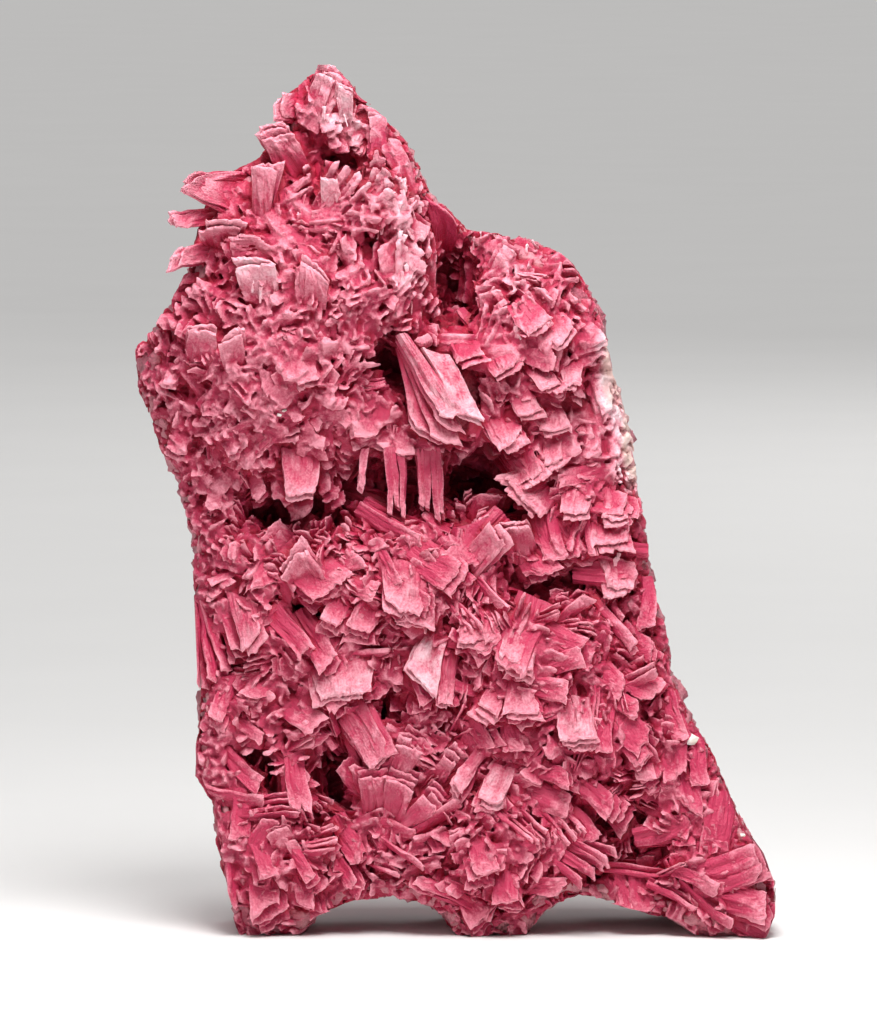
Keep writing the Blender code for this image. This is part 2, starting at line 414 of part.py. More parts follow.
def blade_profile(length, width, root, rng):
    """Outline of a blade (across, along): straight sides and a slanted end, in mm."""
    half = width / 2
    slant = half * math.tan(math.radians(rng.uniform(-SLANT_DEG, SLANT_DEG)))
    tip = length / 2
    return [(-half, -root), (half, -root), (half, tip - slant), (-half, tip + slant)]


def add_plate(bm, origin, axes, profile, thickness):
    """A flat plate with that profile; its front face lies in the plane through origin."""
    along, side, face = axes
    front, back = [], []
    for a, b in profile:
        point = origin + (side * a + along * b) * MM
        front.append(bm.verts.new(point))
        back.append(bm.verts.new(point - face * thickness * MM))
    bm.faces.new(front)
    bm.faces.new(list(reversed(back)))
    count = len(profile)
    for k in range(count):
        j = (k + 1) % count
        bm.faces.new((front[j], front[k], back[k], back[j]))


def plate_thickness(leaves, face):
    """Thick enough for its blades, and more where its back would miss the massive part."""
    thickness = (leaves + 1) * LEAF_GAP
    reach = thickness * max(0.0, face.dot(TOWARDS))
    return thickness + max(0.0, CRUST + SINK - reach) * SINK_SHARE


def books_of_blades():
    """Every book as one thick plate with its front face at the tips of the blades."""
    rng = random.Random(SEED)
    bm = bmesh.new()
    for rows in BOOKS.values():
        for across, up, length, width, heading, lean, roll, leaves in rows:
            axes = blade_axes(*(math.radians(v) for v in (heading, lean, roll)))
            forward = front_depth(across, up)
            origin = to_world(across, up, forward)
            profile = blade_profile(length, width, length / 2 + ROOT, rng)
            add_plate(bm, origin, axes, profile, plate_thickness(leaves, axes[2]))
    bmesh.ops.recalc_face_normals(bm, faces=bm.faces)
    return bm


def object_from(bm, name):
    mesh = bpy.data.meshes.new(name)
    bm.to_mesh(mesh)
    bm.free()
    obj = bpy.data.objects.new(name, mesh)
    bpy.context.scene.collection.objects.link(obj)
    return obj


def combined(obj, other, operation):
    """The solid of obj and other after one exact Boolean, as a new bmesh."""
    modifier = obj.modifiers.new("combine", "BOOLEAN")
    modifier.operation = operation
    modifier.solver = "EXACT"
    modifier.use_self = True
    modifier.object = other
    bpy.context.view_layer.update()
    evaluated = obj.evaluated_get(bpy.context.evaluated_depsgraph_get())
    bm = bmesh.new()
    bm.from_mesh(evaluated.to_mesh())
    evaluated.to_mesh_clear()
    for used in (obj, other):
        bpy.data.objects.remove(used)
    return bm


def shells(bm):
    """The vertices of the mesh, grouped by connected shell, largest first."""
    left = set(bm.verts)
    groups = []
    while left:
        stack = [left.pop()]
        group = list(stack)
        while stack:
            vert = stack.pop()
            for edge in vert.link_edges:
                other = edge.other_vert(vert)
                if other in left:
                    left.remove(other)
                    stack.append(other)
                    group.append(other)
        groups.append(group)
    return sorted(groups, key=len, reverse=True)


def keep_outer_shell(bm):
    """Fill every sealed pocket by keeping only the outer shell."""
    for group in shells(bm)[1:]:
        bmesh.ops.delete(bm, geom=group, context="VERTS")


def box_above_floor():
    """A box that holds everything above the plane the specimen stands on."""
    bm = bmesh.new()
    bmesh.ops.create_cube(bm, size=0.2)
    bmesh.ops.translate(bm, verts=bm.verts, vec=Vector((0, 0, 0.1)))
    return bm


def centre_on_footprint(bm):
    """Put the middle of the bounding box's bottom at the world's origin."""
    for axis, low_end in ((0, False), (1, False), (2, True)):
        values = [vert.co[axis] for vert in bm.verts]
        middle = min(values) if low_end else (min(values) + max(values)) / 2
        for vert in bm.verts:
            vert.co[axis] -= middle


def stone():
    """Rhodonite, pink."""
    material = bpy.data.materials.new("rhodonite")
    material.use_nodes = True
    shader = material.node_tree.nodes["Principled BSDF"]
    shader.inputs["Base Color"].default_value = ROSE
    shader.inputs["Roughness"].default_value = ROSE_ROUGHNESS
    shader.inputs["IOR"].default_value = RHODONITE_IOR
    return material


def clear_scene():
    for obj in list(bpy.data.objects):
        bpy.data.objects.remove(obj)


def main():
    clear_scene()
    body = object_from(massive_part(), "massive")
    books = object_from(books_of_blades(), "books")
    bm = combined(body, books, "UNION")
    keep_outer_shell(bm)
    grown = object_from(bm, "grown")
    bm = combined(grown, object_from(box_above_floor(), "space"), "INTERSECT")
    keep_outer_shell(bm)
    centre_on_footprint(bm)
    cluster = object_from(bm, "rhodonite_cluster")
    cluster.data.materials.append(stone())


main()
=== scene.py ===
"""Looks of the rhodonite specimen: crystal blades, massive rock, floor, light and camera.

Places on the front are given as in part.py: across and up in mm in a sight plane seen from
SIGHT_DEG above the horizon, and forward in mm towards the eye. An area of the front is
(left, right, low, high) in the same mm. A book is a stack of parallel leaves on one root.
"""
import math
import random

import bmesh
import bpy
import numpy as np
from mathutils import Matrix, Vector, noise


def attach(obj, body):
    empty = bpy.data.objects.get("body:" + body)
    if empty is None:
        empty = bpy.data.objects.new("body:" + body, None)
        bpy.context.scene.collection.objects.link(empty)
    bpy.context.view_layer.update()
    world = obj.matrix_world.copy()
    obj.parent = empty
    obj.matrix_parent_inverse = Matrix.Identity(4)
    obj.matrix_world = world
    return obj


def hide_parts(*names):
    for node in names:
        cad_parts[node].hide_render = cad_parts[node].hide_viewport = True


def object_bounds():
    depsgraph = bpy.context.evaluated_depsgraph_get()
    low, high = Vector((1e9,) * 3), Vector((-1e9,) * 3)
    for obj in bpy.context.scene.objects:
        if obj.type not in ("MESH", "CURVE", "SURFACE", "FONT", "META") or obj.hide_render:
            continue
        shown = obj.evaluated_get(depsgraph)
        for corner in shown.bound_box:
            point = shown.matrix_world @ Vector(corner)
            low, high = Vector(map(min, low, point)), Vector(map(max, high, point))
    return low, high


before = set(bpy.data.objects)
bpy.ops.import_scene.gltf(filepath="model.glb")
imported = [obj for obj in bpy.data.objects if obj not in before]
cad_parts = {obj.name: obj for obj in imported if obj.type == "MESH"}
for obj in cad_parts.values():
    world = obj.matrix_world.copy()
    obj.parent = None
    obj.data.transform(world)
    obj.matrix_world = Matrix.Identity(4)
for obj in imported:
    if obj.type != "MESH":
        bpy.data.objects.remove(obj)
CAD_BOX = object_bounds()
NODE = "rhodonite_cluster"
MM = 0.001

# --- The massive part, as in part.py ---------------------------------------------------------

SIGHT_DEG = 5.0
FOOT_CUT = 0.5
FOOTPRINT_SHIFT = (0.486, 0.655)     # the part's move onto the middle of its footprint, in mm
FRONT_DEPTH = 8.6
CRUST = 1.6
RIM_FULLNESS = 0.34
FOOT_FULLNESS = 0.72
DOME_POWER = 3.4
FOOT_FROM = 0.35
FOOT_SPAN = 0.3
BELL_POWER = 1.6
OUTLINE_CENTRE = (-2.0, 38.0)
SIDE_RINGS = [(1.0, 2.5), (1.0, 8.0), (0.93, 14.5)]     # share of the outline, mm behind it
TAN_SIGHT = math.tan(math.radians(SIGHT_DEG))
RIGHT = np.array((1.0, 0.0, 0.0))
UPWARD = np.array((0.0, math.sin(math.radians(SIGHT_DEG)), math.cos(math.radians(SIGHT_DEG))))
TOWARDS = np.array((0.0, -math.cos(math.radians(SIGHT_DEG)), math.sin(math.radians(SIGHT_DEG))))

ROCK_RAYS = 220
ROCK_RINGS = 34
ROCK_VOXEL = 0.00046                 # in metres
ROCK_UNDER = 0.35                    # the rock stays this far under the roots of the crust
ROCK_BEAD = 1.7                      # how far the smooth rim stands up round the rock
RIM_EVENED = 12                      # rays on each side that even out the rim near the centre

# --- Leaves and crust, in mm unless they say otherwise ---------------------------------------

RANDOM_SEED = 5
GREAT_SEED, GREAT_STEP = 43, 0.22    # a step is the spacing of points across a leaf
BOOKS_SEED, BOOKS_STEP = 41, 0.26
CRUST_SEED, CRUST_STEP = 31, 0.5
THIN_STEP = 0.34
LEAF_ROWS = (0.0, 0.14, 0.38, 0.7, 1.1, 1.6, 2.3, 3.2, 4.4, 6.0)     # distances from the tip
LATH_WIDTH = 0.75
CHIPPED_LATHS = 0.16                 # share of the laths whose ends are broken off
TIP_RANGE = (-1.1, 1.4)
AREA_PER_STEP = 3.5                  # square mm of a leaf's face for each ledge on it
MOST_STEPS = 5
LEAF_WARP, CRUST_WARP = 0.09, 0.12
FOOT_PAINTED_SHADE, LOW_TOP = 0.6, 50.0      # leaves near the foot are painted deeper and darker, as shade
FILL_SHARE = {"great_leaves": 1.4}   # share of the outline that a piece may fill, if not 1
OUTSIDE_PACE = 0.2                   # how fast its points go on past that
TIP_SHARE = 1.03                     # share of the outline that the books' tips stay within
BARE_LEFT, BARE_RIGHT = (3, 58), (9, 61)     # heights between which the rim is bare rock
JAGGED_FROM = 60.0                   # height from which crystals cover the rim
BOOK_PITCH = 0.5                     # between the leaves of a book in part.py
CELL_PRIMES = (7919, 104729)         # give each cell of crystals its own random numbers
SHARD_LIFT = (-0.6, -0.6, 1.2, 1.2)
LATH_TOP, LATH_HALF = 48.9, 0.28     # where the hanging laths begin, and half their width

# Thin leaves between the large ones, by piece: seed, area and spread
UPPER_SPREAD = dict(spacing=2.4, sinks=(0.2, 1.2), lengths=(1.4, 2.6), widths=(0.9, 2.0),
                    leaves=(1, 2, 3), cell=3.0, salt=11)
LOWER_SPREAD = dict(spacing=1.9, sinks=(0.3, 1.8), lengths=(1.8, 3.6), widths=(1.4, 3.0),
                    leaves=(2, 3, 4), cell=4.2, salt=12)
THIN_LEAVES = {
    "thin_upper": (42, (-40, 40, 45, 90), UPPER_SPREAD),
    "thin_left": (44, (-40, -3, -2, 45), LOWER_SPREAD),
    "thin_right": (45, (-3, 40, -2, 45), LOWER_SPREAD),
}

# The fused crust, by piece: area, how pale it is, and the size of its plates
CRUSTS = {
    "crust_upper_left": ((-40, -12, 46, 90), 0.78, 1.0),
    "crust_upper_right": ((-12, 40, 46, 90), 0.75, 1.0),
    "crust_lower_left": ((-40, -1, -2, 46), 0.2, 1.2),
    "crust_lower_right": ((-1, 40, -2, 46), -0.15, 1.2),
}
CRUST_VOXEL = 0.00017                # in metres
CRUST_TRIANGLES = 107000             # most triangles in each crust
CRUST_SPLIT = -12                    # across, between the two upper crusts
SHEET_STEP = 0.8
SHEET_TOP = 1.7
SHEET_THICK = 1.2
SHEET_SHARE = 0.93                   # share of the outline that the sheet under the crust fills

# --- Colours, light and camera ---------------------------------------------------------------

ROSE_DEEP = (0.49, 0.03, 0.09, 1.0)
ROSE_PALE = (0.84, 0.3, 0.38, 1.0)
# Painted shade in crevices, and deeper inside them
SHADE_CRIMSON = (0.38, 0.006, 0.032, 1.0)
DEEP_SHADE_CRIMSON = (0.15, 0.003, 0.016, 1.0)
# White of the dust, and of the painted glints
DUST_GLINT_WHITE = (0.95, 0.74, 0.79, 1.0)
ROCK_PINK = (0.52, 0.14, 0.19, 1.0)
ROCK_PALE = (0.6, 0.24, 0.28, 1.0)
ROCK_CREAM = (0.68, 0.38, 0.38, 1.0)
ROCK_ROSE = (0.42, 0.06, 0.11, 1.0)
CREAM_CRUST = (0.84, 0.61, 0.55, 1.0)
QUARTZ_WHITE = (0.86, 0.84, 0.82, 1.0)
QUARTZ_STAIN = (0.72, 0.6, 0.42, 1.0)
FLOOR_COLOUR = (0.8, 0.79, 0.78, 1.0)
FLOOR_SHADE = (0.77, 0.76, 0.75, 1.0)
RHODONITE_IOR = 1.72
QUARTZ_IOR = 1.544

# Metres from here on
LIT_POINT = (0.0, 0.0, 0.05)
FLOOR_REACH = 8.0
SKY_STRENGTH = 0.16
CAMERA_DISTANCE = 0.9
VIEW_HEIGHT = 0.1024
VIEW_MIDDLE = (-1.85, 42.5)          # across and up, in mm
VIEW_PLANE = 6.0                     # forward, in mm
SENSOR_HEIGHT = 24.0                 # in mm

# --- Places on the front ---------------------------------------------------------------------

# The back is broken along flat faces: (x, y, z) of a face's normal, and its distance from the
# centre of the outline in mm
BACK_BREAKS = [
    (0.04, 1.0, 0.06, 12.4),
    (-0.30, 0.88, 0.36, 20.0),
    (0.36, 0.86, 0.34, 19.0),
    (0.08, 0.80, 0.62, 28.4),
    (-0.62, 0.77, -0.14, 22.4),
    (0.66, 0.74, 0.02, 21.8),
    (-0.10, 0.93, -0.34, 19.6),
]

# The outline of the massive part from the front, clockwise from the peak: (across, up) in mm
OUTLINE = [
    # the knob, the long right slope and the saddle
    (-12.2, 86.9), (-10.7, 85.4), (-9.7, 83.4), (-7.4, 82.0), (-5.3, 79.9), (-3.6, 76.3),
    (-2.7, 74.2), (-1.0, 73.0), (0.9, 70.8),
    # the shoulder and the right edge down to the toe
    (6.3, 70.0), (10.3, 68.5), (12.6, 65.7), (14.7, 61.3), (15.2, 57.7), (16.6, 53.1),
    (17.7, 49.2), (18.0, 45.2), (18.9, 41.2), (19.1, 37.7), (20.1, 33.7), (21.2, 29.7),
    (21.5, 25.5), (23.3, 21.9), (25.5, 18.1), (27.1, 14.2), (28.2, 11.3), (30.2, 8.7),
    (31.7, 5.4), (31.8, 2.2), (30.6, -0.6), (24.4, -0.8),
    # the ragged foot: toe, middle and left corner reach the plane it stands on
    (22.6, 1.4), (19.3, 2.2), (15.5, 3.3), (11.8, 4.2), (9.0, 2.6), (6.6, -0.6), (0.4, -0.6),
    (-2.4, 2.8), (-6.2, 3.8), (-10.7, 3.4), (-14.4, 1.8), (-15.8, -0.6), (-21.8, -0.4),
    # the left edge up to the jagged upper corner
    (-22.8, 4.7), (-23.8, 9.2), (-24.2, 13.2), (-26.0, 16.2), (-25.9, 18.7), (-25.6, 23.2),
    (-25.7, 28.7), (-26.3, 34.2), (-26.6, 39.7), (-27.9, 45.2), (-29.6, 48.2), (-30.6, 52.2),
    (-31.9, 54.9), (-32.0, 58.7), (-30.0, 61.3), (-27.5, 65.0), (-26.0, 68.7), (-25.2, 72.2),
    (-24.0, 75.0), (-21.2, 76.9), (-18.0, 79.3), (-16.2, 80.9), (-17.3, 82.7), (-16.7, 84.4),
    (-14.5, 86.2),
]

# Swells and hollows of the front: (across, up, radius across, radius up, forward) in mm
SWELLS = [
    (-19.0, 63.5, 12.5, 13.0, 5.4),   # the upper left mound, which overhangs
    (-7.2, 72.0, 3.8, 9.5, 3.6),      # the ridge that runs down from the peak
    (-13.2, 83.9, 4.0, 3.4, 3.2),     # the knob
    (8.8, 61.5, 6.5, 5.5, 2.8),       # the shoulder
    (-1.6, 54.6, 4.5, 6.0, 3.2),      # the great fan of blades in the middle
    (-2.7, 36.5, 9.0, 5.5, 2.2),      # the shingled centre
    (6.5, 29.0, 8.0, 5.5, 2.0),
    (10.5, 20.0, 10.0, 6.0, 1.6),
    (-16.0, 33.0, 5.0, 5.0, 1.4),
    (3.5, 8.0, 10.0, 5.0, 2.2),
    (-18.5, 8.0, 6.0, 5.0, 1.8),
    (27.0, 4.7, 6.0, 6.0, 2.6),       # the toe
]
HOLLOWS = [
    (-0.4, 65.0, 2.8, 4.6, 9.4),      # the dark cleft between ridge and shoulder
    (-10.7, 77.2, 3.6, 2.0, 4.0),     # the pits under the knob
    (-8.2, 68.6, 1.8, 2.6, 4.4),      # the square pit
    (-6.6, 57.4, 2.2, 3.2, 7.0),
    (-26.8, 54.8, 2.4, 1.4, 2.0),
    (-10.0, 44.6, 15.0, 3.4, 3.0),    # the row of caves under the mound
    (-16.6, 42.4, 4.6, 2.2, 8.4),
    (-9.6, 45.6, 3.4, 3.0, 3.0),
    (-4.6, 45.0, 2.6, 3.0, 3.0),
    (2.6, 46.2, 3.8, 3.4, 9.4),
    (5.8, 42.4, 2.4, 1.4, 6.4),
    (13.2, 53.0, 1.2, 1.6, 3.0),
    (9.6, 35.2, 5.0, 2.4, 3.6),
    (-15.6, 32.6, 2.2, 1.8, 7.4),
    (-21.8, 28.4, 1.4, 3.0, 2.8),
    (-21.0, 18.6, 1.8, 1.8, 4.6),
    (-18.6, 16.6, 1.4, 2.4, 5.0),
    (-12.4, 15.6, 2.4, 3.8, 8.0),
    (-6.7, 22.6, 2.0, 1.5, 5.6),
    (16.4, 11.6, 2.8, 1.6, 4.8),
    (14.2, 6.8, 2.0, 1.8, 3.8),
    (19.0, 8.4, 3.4, 2.0, 3.0),
]

# Books placed one by one: (across, up, length, width, heading, lean, roll, leaves), which are the
# middle of the front blade, its size in mm, the angle that its tip points to (0 right, 90 up),
# how far the tip leans out, the turn about its length, and how many lie behind each other.
# Those of the upper half are fused into its crust.
UPPER_BOOKS = [
    # the knob
    (-13.3, 84.3, 4.4, 3.2, 60, 10, 0, 3), (-16.4, 83.1, 2.4, 2.0, 150, 20, 0, 2),
    (-10.7, 83.9, 2.9, 1.6, 80, 10, 20, 3), (-12.7, 81.5, 2.6, 2.2, -80, 30, 0, 3),
    (-15.6, 80.2, 2.4, 2.0, 200, 30, 0, 2), (-11.8, 79.6, 2.4, 0.9, -90, 10, 50, 3),
    (-13.8, 78.6, 2.4, 1.0, -90, 10, -40, 3),
    # the ridge under it
    (-7.4, 79.6, 5.0, 2.6, 95, 10, 25, 3), (-9.0, 78.2, 3.8, 1.5, 90, 15, 0, 3),
    (-5.6, 77.2, 5.0, 1.8, 110, 10, 40, 3), (-7.2, 73.4, 3.2, 1.8, 50, 20, 40, 4),
    (-5.4, 72.0, 4.0, 1.8, 100, 15, 30, 3), (-7.0, 69.0, 5.4, 1.2, 90, 12, 55, 3),
    (-5.9, 66.4, 6.0, 1.4, 92, 12, 50, 3), (-4.4, 63.2, 5.0, 2.0, 80, 15, 30, 3),
    (-3.4, 67.6, 5.0, 2.4, 95, 12, 25, 3),
    # the jagged upper corner
    (-16.7, 77.9, 5.4, 2.9, 138, 15, 15, 3), (-19.5, 77.0, 5.0, 1.8, 160, 15, 30, 3),
    (-24.3, 75.3, 5.4, 3.0, 190, 12, -10, 3), (-26.4, 72.2, 4.6, 1.8, 181, 8, 50, 3),
    (-18.9, 73.4, 4.6, 3.0, -82, 25, 0, 2), (-22.9, 71.5, 3.6, 2.8, -95, 25, 0, 2),
    (-25.0, 69.4, 3.2, 2.8, -112, 28, 0, 2), (-27.2, 67.2, 4.0, 2.0, 184, 10, 30, 2),
    (-21.0, 75.2, 3.4, 2.4, -150, 20, 20, 2), (-12.9, 74.5, 2.8, 1.5, 95, 25, -20, 2),
    (-15.7, 73.7, 4.2, 1.1, 30, 12, 60, 2), (-15.2, 71.8, 2.8, 2.2, -60, 22, 0, 2),
    (-10.2, 73.2, 4.8, 1.2, 45, 12, 62, 5), (-10.5, 70.6, 5.2, 0.9, 0, 12, 70, 3),
    (-12.4, 68.0, 5.0, 1.2, -90, 12, 30, 3), (-9.3, 68.0, 3.4, 1.0, 90, 5, 20, 2),
    (-17.7, 70.2, 2.8, 1.9, -60, 25, 0, 2), (-14.7, 69.0, 3.2, 2.0, -72, 22, -15, 2),
    # the mound
    (-19.4, 68.1, 3.4, 6.2, 98, 28, 0, 2), (-19.2, 65.0, 3.8, 3.6, 122, 28, 0, 2),
    (-16.8, 65.5, 2.4, 2.0, 110, 28, 0, 2), (-13.9, 65.2, 4.6, 3.8, 100, 25, 18, 3),
    (-11.0, 62.6, 3.6, 2.2, 95, 25, 0, 3), (-10.2, 60.9, 3.2, 1.2, -90, 15, 30, 3),
    (-24.2, 64.8, 3.2, 1.6, 170, 22, 40, 3), (-25.8, 63.2, 3.8, 1.8, 175, 18, 30, 3),
    (-22.9, 62.0, 3.2, 1.4, 120, 25, 40, 3), (-20.2, 61.6, 3.2, 1.4, 122, 25, 40, 3),
    (-27.8, 61.2, 4.2, 1.8, 160, 16, 10, 3), (-25.6, 60.0, 3.6, 2.2, 150, 22, 20, 2),
    (-29.2, 59.2, 2.8, 1.2, 120, 18, 50, 3), (-30.9, 58.6, 2.4, 1.6, 172, 14, 0, 2),
    (-23.5, 58.0, 2.4, 1.1, 60, 25, 20, 2), (-19.4, 58.4, 2.8, 1.4, 60, 25, 30, 3),
    (-25.0, 53.8, 4.0, 2.8, -70, 30, 10, 2), (-21.2, 54.6, 3.0, 2.0, -40, 25, 0, 2),
    (-16.0, 57.6, 3.8, 2.8, -70, 25, 0, 2), (-11.4, 58.7, 6.0, 1.0, 5, 14, 65, 4),
    (-10.8, 56.8, 6.2, 1.0, 6, 14, 60, 4), (-8.7, 52.7, 5.0, 3.6, -85, 15, -15, 4),
    (-18.0, 49.5, 5.6, 0.9, 40, 14, 60, 2), (-20.8, 51.2, 4.2, 0.9, 30, 16, 60, 3),
    (-14.6, 50.0, 3.4, 1.8, -30, 22, 20, 3), (-28.0, 56.4, 3.0, 2.0, -120, 22, 10, 2),
    (-23.0, 49.6, 3.4, 2.2, -60, 25, 10, 2), (-27.6, 50.6, 3.6, 2.4, -100, 25, 0, 2),
    (-13.6, 54.0, 3.2, 2.0, -45, 22, 15, 3), (-17.8, 53.2, 3.2, 1.6, 50, 22, 30, 3),
    # the fringe under the mound
    (-16.5, 46.2, 5.0, 3.1, -83, 25, 0, 2), (-13.3, 47.0, 6.0, 2.0, -85, 20, 30, 3),
    (-10.7, 48.4, 2.8, 1.5, -110, 18, 10, 2), (-9.4, 47.0, 5.2, 1.3, -100, 15, 35, 3),
    (-6.5, 44.7, 5.8, 0.9, -90, 10, 60, 3), (-5.6, 46.0, 6.2, 1.0, -90, 10, 50, 3),
    (-3.0, 44.4, 5.6, 2.2, -78, 14, 40, 4), (-5.7, 50.0, 3.6, 1.8, -88, 18, 10, 2),
    (-2.8, 48.4, 3.2, 2.6, -80, 14, 0, 2), (-20.6, 45.8, 4.6, 2.0, -70, 22, 10, 3),
    (-24.0, 44.6, 4.4, 2.2, -100, 18, -10, 2),
    # the shoulder
    (1.8, 66.4, 3.8, 1.8, 95, 12, -20, 3), (3.4, 63.4, 2.8, 2.6, 100, 28, 0, 3),
    (9.4, 65.6, 5.6, 1.5, 5, 14, 50, 4), (8.8, 61.5, 4.6, 3.8, -45, 24, 0, 3),
    (12.8, 61.0, 4.4, 3.4, -42, 14, -20, 2), (7.2, 58.6, 5.4, 3.0, -15, 22, 0, 3),
    (0.6, 61.4, 5.2, 2.2, -172, 20, 10, 3), (2.2, 58.0, 8.2, 3.6, -4, 14, 15, 3),
    (8.0, 56.0, 4.2, 3.0, -12, 22, 0, 2), (11.8, 56.2, 4.8, 1.7, -80, 12, -40, 3),
    (14.2, 55.6, 6.4, 1.9, -76, 10, -20, 4), (8.4, 52.8, 4.0, 3.4, -86, 18, 0, 3),
    (5.8, 53.8, 4.2, 1.8, -80, 14, 40, 4), (13.8, 50.2, 3.8, 2.4, -86, 18, 0, 2),
    (15.6, 49.8, 3.4, 1.6, -86, 14, 0, 2), (10.4, 49.8, 5.0, 3.4, -60, 16, 0, 2),
    (4.8, 67.2, 3.4, 2.2, 60, 16, 20, 3), (11.0, 67.0, 3.0, 2.0, 40, 12, 20, 3),
]
